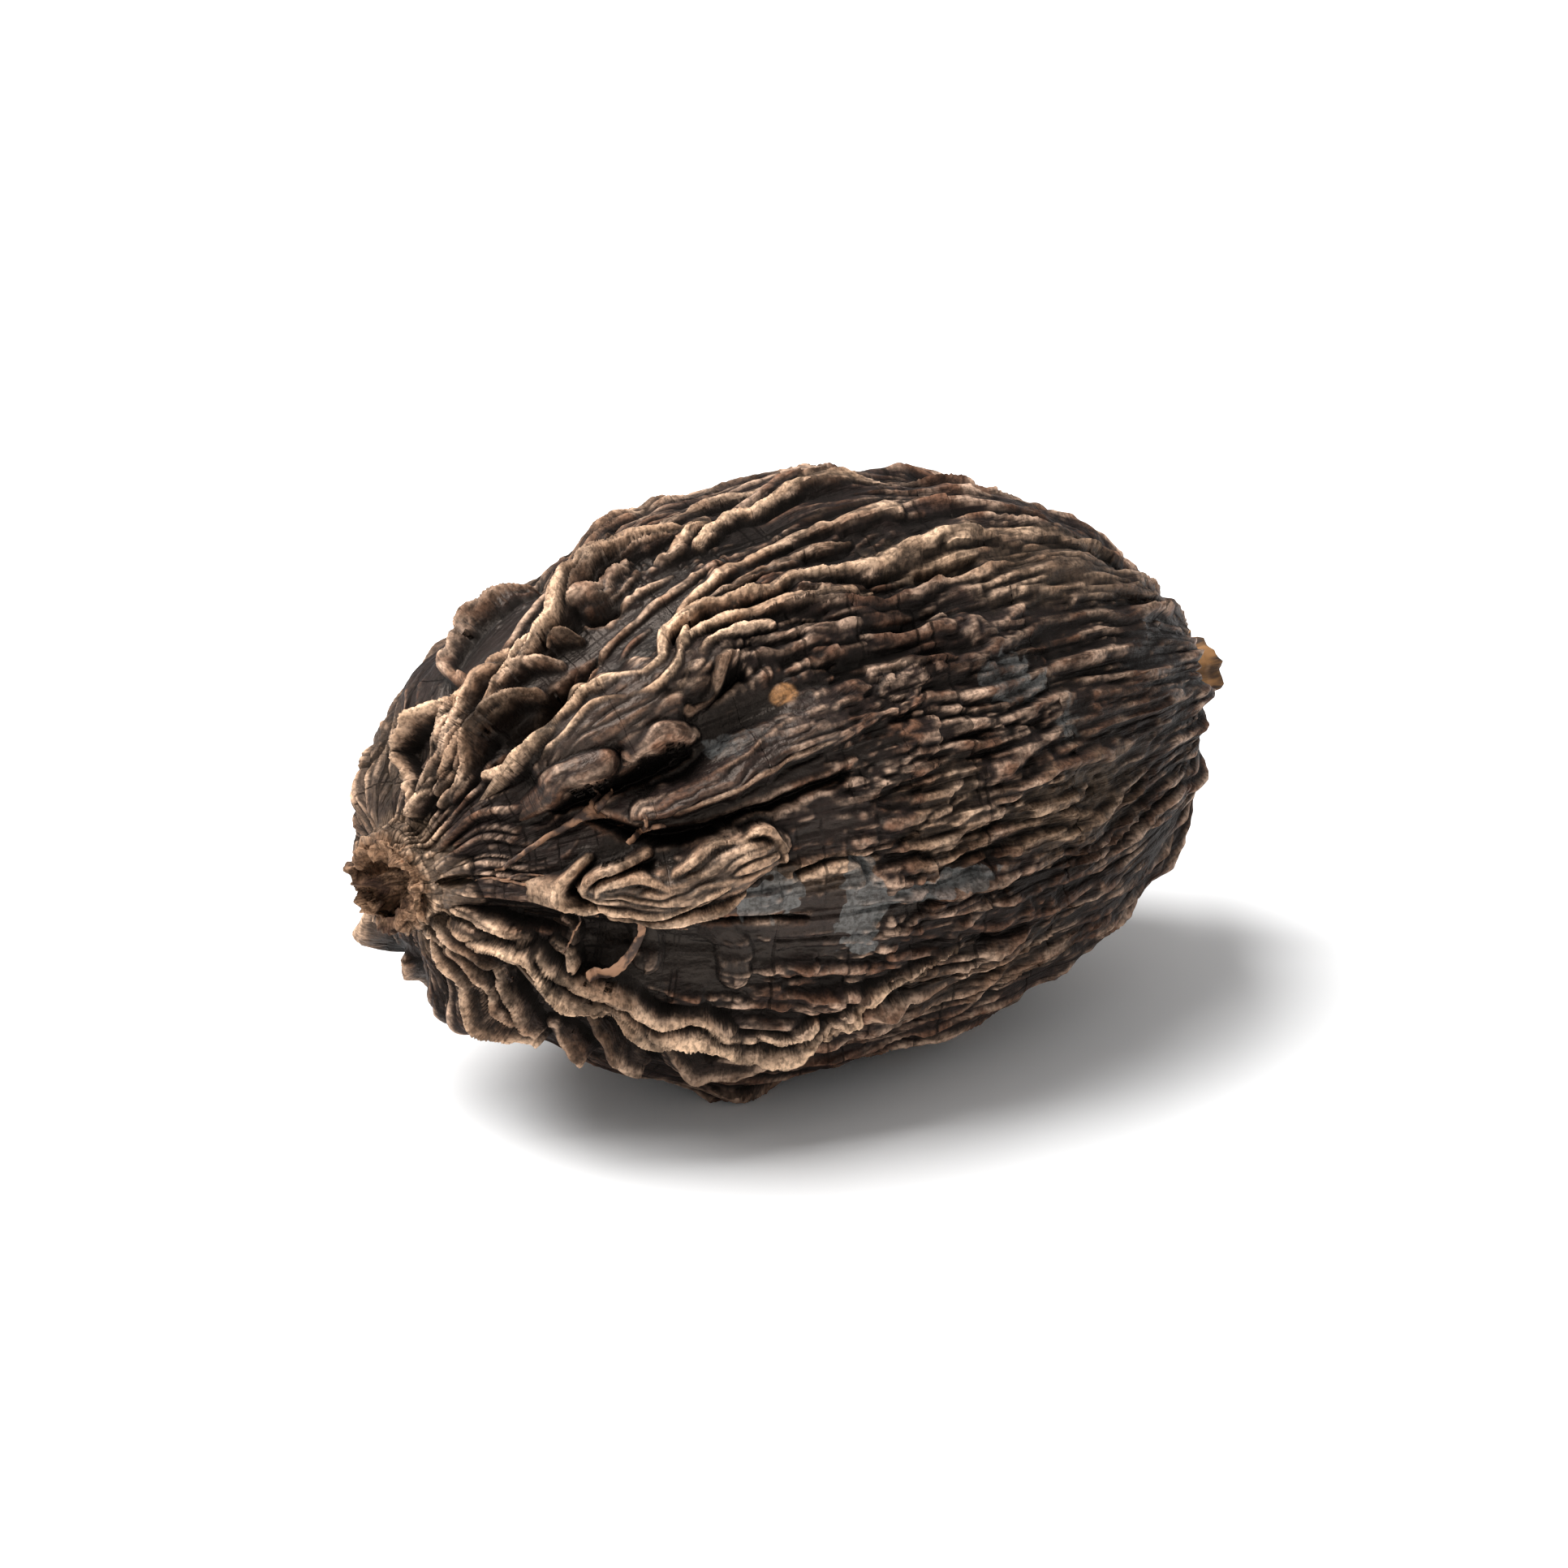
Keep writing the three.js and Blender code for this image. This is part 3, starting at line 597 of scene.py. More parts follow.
PATCHES = (
    Patch(Tone.CALM, 10.5, 17, 5.0, 2.2),
    Patch(Tone.CALM, 9.0, -16, 3.6, 2.0),
    Patch(Tone.CALM, 8.5, 46, 3.0, 2.0),
    Patch(Tone.CALM, 11.5, 60, 4.5, 1.8, 0.9),
    Patch(Tone.CALM, 12.5, 49, 3.0, 1.2, 0.8),
    Patch(Tone.CALM, 9.0, 80, 3.6, 1.8),
    Patch(Tone.CALM, 10.0, 102, 3.6, 1.6, 0.8),
    Patch(Tone.CALM, 13.5, 95, 3.5, 1.5, 0.9),
    Patch(Tone.CALM, 14.2, 74, 1.8, 1.2, 0.7),
    Patch(Tone.CALM, 1.7, 70, 0.9, 1.0, 0.8),
    Patch(Tone.BARK, 17.5, 60, 5.0, 4.5),
    Patch(Tone.BARK, 19.0, 84, 5.0, 3.5),
    Patch(Tone.BARK, 17.0, 42, 3.5, 1.6, 0.8),
    Patch(Tone.BARK, 16.0, 112, 4.5, 2.5, 0.8),
    Patch(Tone.BARK, 20.0, -90, 6.0, 5.0, 0.8),
    Patch(Tone.BARK, 24.0, -150, 5.0, 5.0, 0.8),
    Patch(Tone.TAN, 21.5, 26, 2.2, 0.8, 0.9),
    Patch(Tone.TAN, 26.0, 33, 4.0, 1.4, 0.5),
    Patch(Tone.TAN, 24.0, 84, 3.0, 1.4, 0.7),
    Patch(Tone.TAN, 20.5, 120, 3.5, 1.4, 0.25),
    Patch(Tone.TAN, 4.5, -66, 2.2, 2.4, 0.5),
    # painted shade over the dim, low side of the stalk half
    Patch(Tone.PAINTED_SHADE, 26.0, 90, 7.0, 8.0, 0.42),
    Patch(Tone.TAN, 14.0, 85, 1.6, 0.6, 0.6),
    Patch(Tone.TAN, 18.5, 80, 1.6, 1.6, 0.5),
    Patch(Tone.TAN, 0.8, 90, 1.3, 9.0, 0.9),
    Patch(Tone.RAW, -0.7, 90, 1.0, 12.0),
    Patch(Tone.TAN, 1.3, 60, 0.9, 0.8, 0.9),
    Patch(Tone.TAN, 1.4, 89, 1.0, 0.9, 0.9),
    Patch(Tone.BLOOM, 12.3, 89.5, 1.1, 0.75, 0.9),
    Patch(Tone.BLOOM, 15.4, 94, 0.8, 1.5, 1.0),
    Patch(Tone.BLOOM, 18.2, 92.5, 2.2, 0.35, 0.8),
    Patch(Tone.BLOOM, 22.0, 57, 1.3, 0.9, 0.5),
    Patch(Tone.BLOOM, 24.3, 67, 1.2, 0.8, 0.35),
    Patch(Tone.BLOOM, 12.2, 53.5, 1.2, 0.5, 0.35),
    Patch(Tone.AMBER, 14.1, 47.2, 0.42, 0.3, 1.0),
    # painted shade in the hollows and on faces turned from the light
    Patch(Tone.PAINTED_SHADE, 7.5, 100, 2.2, 1.4),
    Patch(Tone.PAINTED_SHADE, 10.0, 103, 2.5, 1.5, 0.7),
    Patch(Tone.PAINTED_SHADE, 5.5, 128, 2.0, 1.2, 0.8),
    Patch(Tone.PAINTED_SHADE, 10.0, 133, 4.0, 1.2, 0.8),
    Patch(Tone.PAINTED_SHADE, 7.0, 22, 1.6, 1.2),
    Patch(Tone.PAINTED_SHADE, 6.6, 19, 1.7, 0.8),
    Patch(Tone.PAINTED_SHADE, 9.3, 11.0, 0.9, 0.5, 0.8),
    Patch(Tone.PAINTED_SHADE, 11.0, 7.5, 0.8, 0.4, 0.8),
    Patch(Tone.PAINTED_SHADE, 9.0, 69, 2.5, 0.7),
    Patch(Tone.PAINTED_SHADE, 8.5, 53, 2.5, 0.6, 0.8),
    Patch(Tone.PAINTED_SHADE, 12.2, 43, 1.5, 0.8, 0.6),
)

# ---------------------------------------------------------------------------------------------
# The sculpted skin
# ---------------------------------------------------------------------------------------------


@dataclass
class Skin:
    """The husk's skin on a fine grid, rows along the pod and columns around it.

    Attributes:
        outline: the smooth outline under it.
        columns: how many columns the grid has.
        row_knots: pairs of row number and the way along at that row, from the rim on.
        last_row: number of the row in the middle of the dimple.
        notch_depth: how much further back the neck's rim lies on its torn side, in mm.
        notch_around: the middle of the torn side, in degrees around.
        neck_shortening: how much the dried neck has shrunk back from the outline, in mm.
        grain_stretch: width of the fibres' grain as a share of its length.
        puff: how far a slope is pushed out over the valley beside it, in mm per unit of slope.
        sink: pairs of the way along and how deep the ground lies under the folds' crests there,
            in mm, so that the crests keep to the outline.
    """

    outline: Outline
    columns: int = 1280
    row_knots: tuple[tuple[int, float], ...] = ((50, 0.0), (430, 14.0), (560, 20.0), (800, 36.0))
    last_row: int = 840
    puff: float = 0.05
    notch_depth: float = 0.8
    notch_around: float = 95.0
    neck_shortening: float = 0.5
    grain_stretch: float = 0.16
    sink: tuple[tuple[float, float], ...] = (
        (0.0, 0.0), (1.5, 0.25), (4.0, 0.65), (8.0, 0.8), (13.0, 0.8), (18.0, 0.66), (38.0, 0.6))
    neck_fade: float = 2.2  # the relief grows from the rim over this stretch, in mm
    stalk_fade: float = 1.6  # and dies out over this stretch before the dimple
    rib_growth: tuple[float, float] = (6.0, 15.0)  # where the ribs start and are full, in mm along
    calming: float = 0.85  # how much of the ribs a calm patch takes away
    lean_softness: float = 3.0  # blur of the folds' lean, in grid cells
    slope_softness: float = 2.0  # blur of the slopes that the puff follows, in grid cells
    notch_reach: float = 2.4  # the neck is drawn in as far as this, in mm along
    notch_run: float = 2.6  # over so many mm

    def __post_init__(self) -> None:
        """Lays out the grid and its smooth base."""
        knots = [(0, self.outline.start), *self.row_knots, (self.last_row, self.outline.end)]
        rows = np.arange(self.last_row + 1)
        self.along = np.interp(rows, [k[0] for k in knots], [k[1] for k in knots])
        self.around = np.arange(self.columns) / self.columns * 2 * np.pi - np.pi
        self.radius = self.outline.place(self.along)[1]
        shape = (len(self.along), self.columns)
        self.level = np.zeros(shape)  # lobes and creases
        self.raised = np.zeros(shape)  # the highest fold above the level
        self.slide_along = np.zeros(shape)
        self.slide_around = np.zeros(shape)
        self.tones = {tone: np.zeros(shape) for tone in Tone}
        self.outside = ease(self.along, -0.2, 0.6)[:, None]
        self.x_cell = self.along[:, None]
        self.y_cell = self.outline.girth_radius * np.cos(self.around)[None, :]
        self.z_cell = self.outline.girth_radius * np.sin(self.around)[None, :]
        cells = (self.x_cell * self.grain_stretch, self.y_cell, self.z_cell)
        self.flow = [np.broadcast_to(cell, shape).copy() for cell in cells]

    # -- windows and distances --

    def window(self, low: float, high: float, first: float, last: float,
               reach: float) -> tuple[Array, Array, Array]:
        """The part of the grid near a stretch of skin.

        Args:
            low: lowest way along.
            high: highest way along.
            first: smallest angle, in degrees.
            last: largest angle, in degrees.
            reach: how far beyond them, in mm.

        Returns:
            Row numbers, column numbers, and the angle of each column counted on from first.
        """
        rows = np.nonzero((self.along >= low - reach) & (self.along <= high + reach))[0]
        smallest = max(0.7, float(self.radius[rows].min()))
        margin = min(np.pi, reach / smallest)
        middle = math.radians((first + last) / 2)
        half = min(np.pi, math.radians((last - first) / 2) + margin)
        turn = (self.around - middle + np.pi) % (2 * np.pi) - np.pi
        columns = np.nonzero(np.abs(turn) <= half)[0]
        return rows, columns, middle + turn[columns]

    # -- layers --

    def swell(self, lobe: Swelling) -> None:
        """Adds a round lobe or hollow to the level."""
        reach = 2.2 * max(lobe.length, lobe.width)
        rows, columns, angles = self.window(lobe.along, lobe.along, lobe.around, lobe.around, reach)
        off_x = (self.along[rows] - lobe.along)[:, None] / lobe.length
        off_y = (angles - math.radians(lobe.around))[None, :] * self.radius[rows][:, None] / lobe.width
        self.level[np.ix_(rows, columns)] += lobe.height * np.exp(-(off_x ** 2 + off_y ** 2))

    def fold(self, fold: Fold, number: int, noise: Noise) -> None:
        """Raises one fold, or sinks it if it is a crease.

        Args:
            fold: the fold.
            number: its place in the list, which sets its own noise.
            noise: the source of its irregularity.
        """
        crest = smooth_path(np.array(fold.crest), PATH_STEPS)
        reach = 1.4 * crest[:, 3].max() + 0.4
        rows, columns, angles = self.window(crest[:, 0].min(), crest[:, 0].max(),
                                            crest[:, 1].min(), crest[:, 1].max(), reach)
        across, travel, height, width, normal_x, normal_y = self.trace(crest, rows, angles)
        # the crest wanders, less so on a thin fold, and its flanks widen and narrow along it
        loose = np.minimum(1.0, width / 0.4)
        across = across + loose * (0.17 * noise(travel / 1.6, across / 2.0, number * 7.3)
                                   + 0.09 * noise(travel / 0.6, across / 0.6, number * 2.9))
        crown, flank = fold.section.value
        spread = width * np.where(across > 0, 1 + fold.skew, 1 - fold.skew)
        spread = spread * (1 + 0.3 * noise(travel / 0.9, number * 2.3, 1.5))
        share = np.clip(1 - np.minimum(np.abs(across) / spread, 1) ** crown, 0, 1) ** flank
        swing = 1 + fold.knobs * 1.6 * noise(travel / 1.5, number * 3.7, 0.5)
        lift = height * share * swing
        if fold.strands > 0:
            lift = lift + fold.strands * np.sqrt(share) * self.strand(travel, across, number, noise)
        spot = np.ix_(rows, columns)
        if crest[:, 2].max() <= 0:
            self.level[spot] += lift
            return
        # where it rises over the folds before it, it takes over their lean, tan and grain
        current = self.raised[spot]
        win = ease(lift - current, -0.03, 0.10)
        lean = fold.lean * share
        self.slide_along[spot] += win * (lean * normal_x - self.slide_along[spot])
        self.slide_around[spot] += win * (lean * normal_y - self.slide_around[spot])
        # a small fillet fills the corner between two folds
        fillet = 0.15 * np.sqrt(share) + 1e-6
        near = np.clip(1 - np.abs(lift - current) / fillet, 0, 1)
        self.raised[spot] = np.maximum(current, lift) + near ** 2 * fillet / 4
        tan = self.tones[Tone.TAN][spot]
        crest_tan = fold.tan * share ** 2
        self.tones[Tone.TAN][spot] = tan + win * (crest_tan - tan)
        mine = (travel * self.grain_stretch, across + number * 17.7, number * 3.1)
        for layer, value in zip(self.flow, mine):
            layer[spot] += win * (value - layer[spot])

    def trace(self, crest: Array, rows: Array, angles: Array) -> tuple[Array, ...]:
        """Measures how each place of a window lies to a fold's crest.

        Args:
            crest: the crest's points.
            rows: the window's rows.
            angles: the angle of each of its columns, in radians.

        Returns:
            The way across from the crest, the way along it, its height and half-width there, and
            the direction across it: its parts along and around.
        """
        radius = self.radius[rows][:, None]
        along = self.along[rows][:, None]
        shape = (len(rows), len(angles))
        nearest = np.full(shape, np.inf)
        side, travel, height, width = (np.zeros(shape) for _ in range(4))
        normal_x, normal_y = np.zeros(shape), np.zeros(shape)
        done = 0.0
        for start, end in zip(crest, crest[1:]):
            line_x = end[0] - start[0]
            line_y = radius * math.radians(end[1] - start[1])
            to_x = along - start[0]
            to_y = radius * (angles[None, :] - math.radians(start[1]))
            length = np.sqrt(line_x ** 2 + line_y ** 2) + 1e-9
            share = np.clip((to_x * line_x + to_y * line_y) / length ** 2, 0, 1)
            off_x = to_x - share * line_x
            off_y = to_y - share * line_y
            distance = off_x ** 2 + off_y ** 2
            nearer = distance < nearest
            nearest = np.where(nearer, distance, nearest)
            side = np.where(nearer, np.sign(line_x * to_y - line_y * to_x), side)
            travel = np.where(nearer, done + share * length, travel)
            height = np.where(nearer, start[2] + share * (end[2] - start[2]), height)
            width = np.where(nearer, start[3] + share * (end[3] - start[3]), width)
            normal_x = np.where(nearer, -line_y / length, normal_x)
            normal_y = np.where(nearer, line_x / length, normal_y)
            done += float(math.hypot(line_x, math.radians(end[1] - start[1])
                                     * np.interp(start[0], self.along, self.radius)))
        return side * np.sqrt(nearest), travel, height, width, normal_x, normal_y

    def strand(self, travel: Array, across: Array, number: int, noise: Noise) -> Array:
        """Fine strands along a fold: round on top, with narrow gaps between them."""
        twist = across + 0.12 * noise(travel / 1.1, across / 0.6, number * 5.1 + 20)
        coarse = np.abs(noise(travel / 2.8, twist / 0.30, number * 5.1))
        fine = np.abs(noise(travel / 1.8, twist / 0.17, number * 5.1 + 40))
        return (1.2 * np.minimum(coarse / 0.3, 1) ** 0.7 - 0.86
                + 0.45 * (np.minimum(fine / 0.3, 1) ** 0.8 - 0.68))

    def patch(self, patch: Patch, noise: Noise) -> None:
        """Lays one patch of tone, with a ragged edge."""
        reach = 1.8 * max(patch.length, patch.width)
        rows, columns, angles = self.window(patch.along, patch.along, patch.around, patch.around,
                                            reach)
        off_x = (self.along[rows] - patch.along)[:, None] / patch.length
        off_y = ((angles - math.radians(patch.around))[None, :] * self.radius[rows][:, None]
                 / patch.width)
        spot = np.ix_(rows, columns)
        cells = [np.broadcast_to(cell, self.level.shape)[spot]
                 for cell in (self.x_cell, self.y_cell, self.z_cell)]
        ragged = 0.55 * noise(*(cell / 0.9 for cell in cells)) + 0.35 * noise(
            *(cell / 0.3 for cell in cells))
        soft = 0.15 if patch.tone in (Tone.BLOOM, Tone.AMBER) else 0.45
        if patch.tone is Tone.AMBER:
            ragged = ragged * 0.12
        strength = patch.strength * ease(1 - np.hypot(off_x, off_y) + ragged, -soft, soft)
        layer = self.tones[patch.tone]
        layer[spot] = np.maximum(layer[spot], strength)

    def ribs(self, noise: Noise) -> Array:
        """The wavy ribs that run from the neck to the stalk, in three sizes.

        Returns:
            Their height over the grid, in mm.
        """
        wander = (0.8 * noise(self.x_cell / 5.5, self.y_cell / 4.5, self.z_cell / 4.5)
                  + 0.18 * noise(self.x_cell / 2.0, self.y_cell / 1.8, self.z_cell / 1.8 + 9)
                  + 0.04 * noise(self.x_cell / 0.7, self.y_cell / 0.7, self.z_cell / 0.7 + 19))
        turned = self.around[None, :] + wander / self.outline.girth_radius
        y = self.outline.girth_radius * np.cos(turned)
        z = self.outline.girth_radius * np.sin(turned)
        total = np.zeros(self.level.shape)
        for width, length, height, shift in ((1.3, 11.0, 0.42, 0), (0.62, 6.0, 0.24, 31),
                                             (0.3, 3.0, 0.13, 57), (0.17, 2.0, 0.06, 83)):
            value = noise((self.x_cell + 2.5 * wander) / length + shift, y / width, z / width)
            crest = 1 - 2.6 * np.minimum(np.hypot(value, 0.012), 0.38)
            run = 0.8 + 0.9 * noise(self.x_cell / 2.6 + shift, y / 1.2, z / 1.2 + 3)
            total += height * crest ** 1.3 * run
        return total

    def sculpt(self) -> None:
        """Works out the skin's whole relief."""
        noise = Noise(11)
        for lobe in LOBES:
            self.swell(lobe)
        for number, fold in enumerate(FOLDS):
            self.fold(fold, number, noise)
        for patch in PATCHES:
            self.patch(patch, noise)
        calm = self.tones[Tone.CALM]
        rough = 1 - self.calming * calm
        grown = ease(self.along, *self.rib_growth)[:, None]
        closing = ease(self.outline.lip - self.along, 0.0, self.stalk_fade)[:, None]
        on_fold = ease(self.raised, 0.15, 0.5)
        # the ribs are faint at the neck and on the folds, and come and go elsewhere
        rib_share = (0.12 + 0.88 * grown) * rough * (1 - 0.6 * on_fold)
        come_and_go = noise(self.x_cell / 4, self.y_cell / 3, self.z_cell / 3 + 5)
        rib_share = rib_share * (1 + 0.7 * come_and_go)
        broad = 0.35 * noise(self.x_cell / 6.0, self.y_cell / 5.0, self.z_cell / 5.0)
        bark = self.tones[Tone.BARK]
        crumple = self.crumple(noise) * (0.15 + 0.85 * rough) * (0.3 + 0.9 * bark)
        ground = np.interp(self.along, *zip(*self.sink))[:, None]
        relief = (self.level + self.raised + self.ribs(noise) * rib_share + broad + crumple
                  + self.flakes(noise) * bark * rough - ground) * self.fade_in() * closing
        self.height = relief * self.outside + self.neck_pleats(noise)
        self.slide_along = self.blur(self.slide_along, self.lean_softness) * self.outside
        self.slide_around = self.blur(self.slide_around, self.lean_softness) * self.outside

    def crumple(self, noise: Noise) -> Array:
        """Small sharp-edged crumples of the dried skin, in mm."""
        warp = 0.5 * noise(self.x_cell / 2.5 + 70, self.y_cell / 1.5, self.z_cell / 1.5)
        coarse = noise(self.x_cell / 2.2 + warp, self.y_cell / 0.6 + warp, self.z_cell / 0.6)
        fine = noise(self.x_cell / 1.1 + 33, self.y_cell / 0.3, self.z_cell / 0.3 + warp)
        return 0.15 * (0.3 - np.abs(coarse)) * 2 + 0.07 * (0.3 - np.abs(fine)) * 2

    def flakes(self, noise: Noise) -> Array:
        """Thin ragged-edged layers, where the outer skin has flaked off, in mm."""
        ragged = (0.22 * noise(self.x_cell / 1.4, self.y_cell / 0.4, self.z_cell / 0.4 + 90)
                  + 0.14 * noise(self.x_cell / 0.6, self.y_cell / 0.22, self.z_cell / 0.22 + 80))
        total = np.zeros(self.level.shape)
        for length, width, height, shift in ((3.4, 1.5, 0.24, 5), (2.2, 0.9, 0.16, 23)):
            value = noise(self.x_cell / length + shift, self.y_cell / width, self.z_cell / width)
            total += height * (ease(value + ragged, -0.04, 0.05) - 0.5)
        return total

    def fade_in(self) -> Array:
        """How much of the relief there is, growing from the neck's rim."""
        return ease(self.along, 0.0, self.neck_fade)[:, None]

    def neck_pleats(self, noise: Noise) -> Array:
        """The ropes that the neck's skin is gathered into, and the ragged rim.

        Returns:
            Their height over the grid, in mm.
        """
        twist = 0.16 * noise(self.x_cell / 2.6, 1.2 * np.cos(self.around)[None, :],
                             1.2 * np.sin(self.around)[None, :])
        turned = self.around[None, :] + twist
        ropes = np.zeros(self.level.shape)
        for radius, height, shift in ((2.8, 0.30, 0), (6.5, 0.22, 17), (15.0, 0.11, 41)):
            value = noise(self.x_cell / 6.5 + shift, radius * np.cos(turned), radius * np.sin(turned))
            ropes += height * (1 - 2.6 * np.minimum(np.abs(value), 0.38)) ** 1.2
        band = ease(self.along, 0.0, 1.8) * (1 - ease(self.along, 4.0, 8.5))
        calm = 1 - 0.7 * self.tones[Tone.CALM]
        return (ropes - 0.22) * band[:, None] * calm + self.mouth(noise)

    def mouth(self, noise: Noise) -> Array:
        """The pebbled, curled tissue of the neck's mouth, in mm."""
        x, radius, _, _ = self.outline.place(self.along)
        x = x[:, None]
        y = radius[:, None] * np.cos(self.around)[None, :]
        z = radius[:, None] * np.sin(self.around)[None, :]
        curls = noise(x / 0.75, y / 0.75, z / 0.75 + 3)
        pebbles = noise(x / 0.28, y / 0.28, z / 0.28 + 9)
        pockets = ease(noise(x / 0.6 + 7, y / 0.6, z / 0.6), 0.12, 0.4)
        lumps = (1.0 * (0.2 - np.abs(curls)) + 0.3 * (0.2 - np.abs(pebbles)) - 0.6 * pockets)
        band = ease(self.along, self.outline.start, self.outline.start + 0.3)
        band = band * (1 - ease(self.along, 0.1, 0.8))
        return lumps * band[:, None]

    # -- results --

    def surface(self) -> Array:
        """The skin's points on the grid, in mm about the pod's axis at its girth.

        Returns:
            An array of rows, columns and three coordinates.
        """
        step_along = np.gradient(self.along)[:, None]
        step_around = (2 * np.pi / self.columns) * np.maximum(self.radius, 0.4)[:, None]
        soft = self.blur(self.height, self.slope_softness)
        slope_along = np.gradient(soft, axis=0) / step_along
        slope_around = (np.roll(soft, -1, 1) - np.roll(soft, 1, 1)) / (2 * step_around)
        steep = np.maximum(1.0, np.hypot(slope_along, slope_around))
        push = self.puff * self.outside
        along = self.along[:, None] + self.slide_along - push * slope_along / steep
        slide = self.slide_around - push * slope_around / steep
        around = self.around[None, :] + slide / np.maximum(self.radius, 0.8)[:, None]
        x, radius, normal_x, normal_r = self.outline.place(along)
        radius = radius + normal_r * self.height
        facing = 0.5 + 0.5 * np.cos(around - math.radians(self.notch_around))
        drawn_in = self.notch_depth * facing + self.neck_shortening
        notch = drawn_in * ease(self.notch_reach - along, 0.0, self.notch_run)
        x = x + normal_x * self.height + notch
        return np.stack([x, -radius * np.sin(around), radius * np.cos(around)], axis=-1)

    def blur(self, layer: Array, cells: float) -> Array:
        """The layer, blurred over so many grid cells each way."""
        padded = np.concatenate([layer[::-1], layer])  # mirrored, so that it wraps without a step
        rows = np.fft.fftfreq(padded.shape[0])[:, None]
        columns = np.fft.rfftfreq(padded.shape[1])[None, :]
        keep = np.exp(-2 * (np.pi * cells) ** 2 * (rows ** 2 + columns ** 2))
        blurred = np.fft.irfft2(np.fft.rfft2(padded) * keep, s=padded.shape)
        return blurred[len(layer):]


@dataclass
class Drape:
    """Spreads a coarser net of vertices evenly over a band of the sculpted skin.

    Attributes:
        rings: rows of vertices.
        spokes: vertices in a ring.
        rounds: how many times the net is relaxed.
        focus: how much closer the net lies on the pod's better side than on the other.
        focus_around: the middle of that side, in degrees around.
        stride: how far a vertex moves to the middle of its neighbours in a round, as a share.
        evenness: how much more strongly a far neighbour pulls, as a power of its distance.
    """

    rings: int
    spokes: int
    rounds: int = 24
    focus: float = 1.3
    focus_around: float = 50.0
    stride: float = 0.6
    evenness: float = 1.2
    row: Array = field(init=False)
    column: Array = field(init=False)

    def relax(self, surface: Array, start_rows: Array) -> None:
        """Moves the net over the surface until its cells are about evenly large.

        The first and the last ring stay where they are, so that bands meet without a gap.

        Args:
            surface: the skin's points.
            start_rows: the row of the surface that each ring starts on.
        """
        columns = surface.shape[1]
        self.row = np.repeat(start_rows[:, None], self.spokes, axis=1)
        turned = (np.arange(self.spokes) / self.spokes - 0.5) * 2 * np.pi
        turned = turned - math.radians(self.focus_around)
        spread = 1 - (self.focus - 1) / (self.focus + 1) * np.cos(turned)
        start = np.concatenate([[0], np.cumsum(spread)])
        self.column = np.repeat((start[:-1] / start[-1] * columns)[None, :], self.rings, axis=0)
        for _ in range(self.rounds):
            points = self.sample(surface)
            facing = self.column / columns * 2 * np.pi - np.pi - math.radians(self.focus_around)
            dense = 1 + (self.focus - 1) * (0.5 + 0.5 * np.cos(facing))
            pull_row = np.zeros_like(self.row)
            pull_column = np.zeros_like(self.row)
            weight = np.zeros_like(self.row)
            for shift, axis in ((-1, 1), (1, 1), (-1, 0), (1, 0)):
                other = np.roll(points, shift, axis)
                length = (dense * np.linalg.norm(other - points, axis=-1)) ** self.evenness + 1e-9
                turn = np.roll(self.column, shift, axis) - self.column
                turn = (turn + columns / 2) % columns - columns / 2
                pull_row += length * (np.roll(self.row, shift, axis) - self.row)
                pull_column += length * turn
                weight += length
            self.row[1:-1] += (self.stride * pull_row / weight)[1:-1]
            self.column[1:-1] += (self.stride * pull_column / weight)[1:-1]
        self.column %= columns

    def sample(self, layer: Array) -> Array:
        """The layer's values at the net's vertices."""
        rows, columns = layer.shape[:2]
        row = np.clip(self.row, 0, rows - 1.001)
        column = self.column % columns
        low_row = row.astype(int)
        low_column = column.astype(int) % columns
        next_column = (low_column + 1) % columns
        down = row - low_row
        right = column % 1
        if layer.ndim == 3:
            down, right = down[..., None], right[..., None]
        top, bottom = (layer[near, low_column] * (1 - right) + layer[near, next_column] * right
                       for near in (low_row, low_row + 1))
        return top * (1 - down) + bottom * down


# ---------------------------------------------------------------------------------------------
# Finishes
# ---------------------------------------------------------------------------------------------


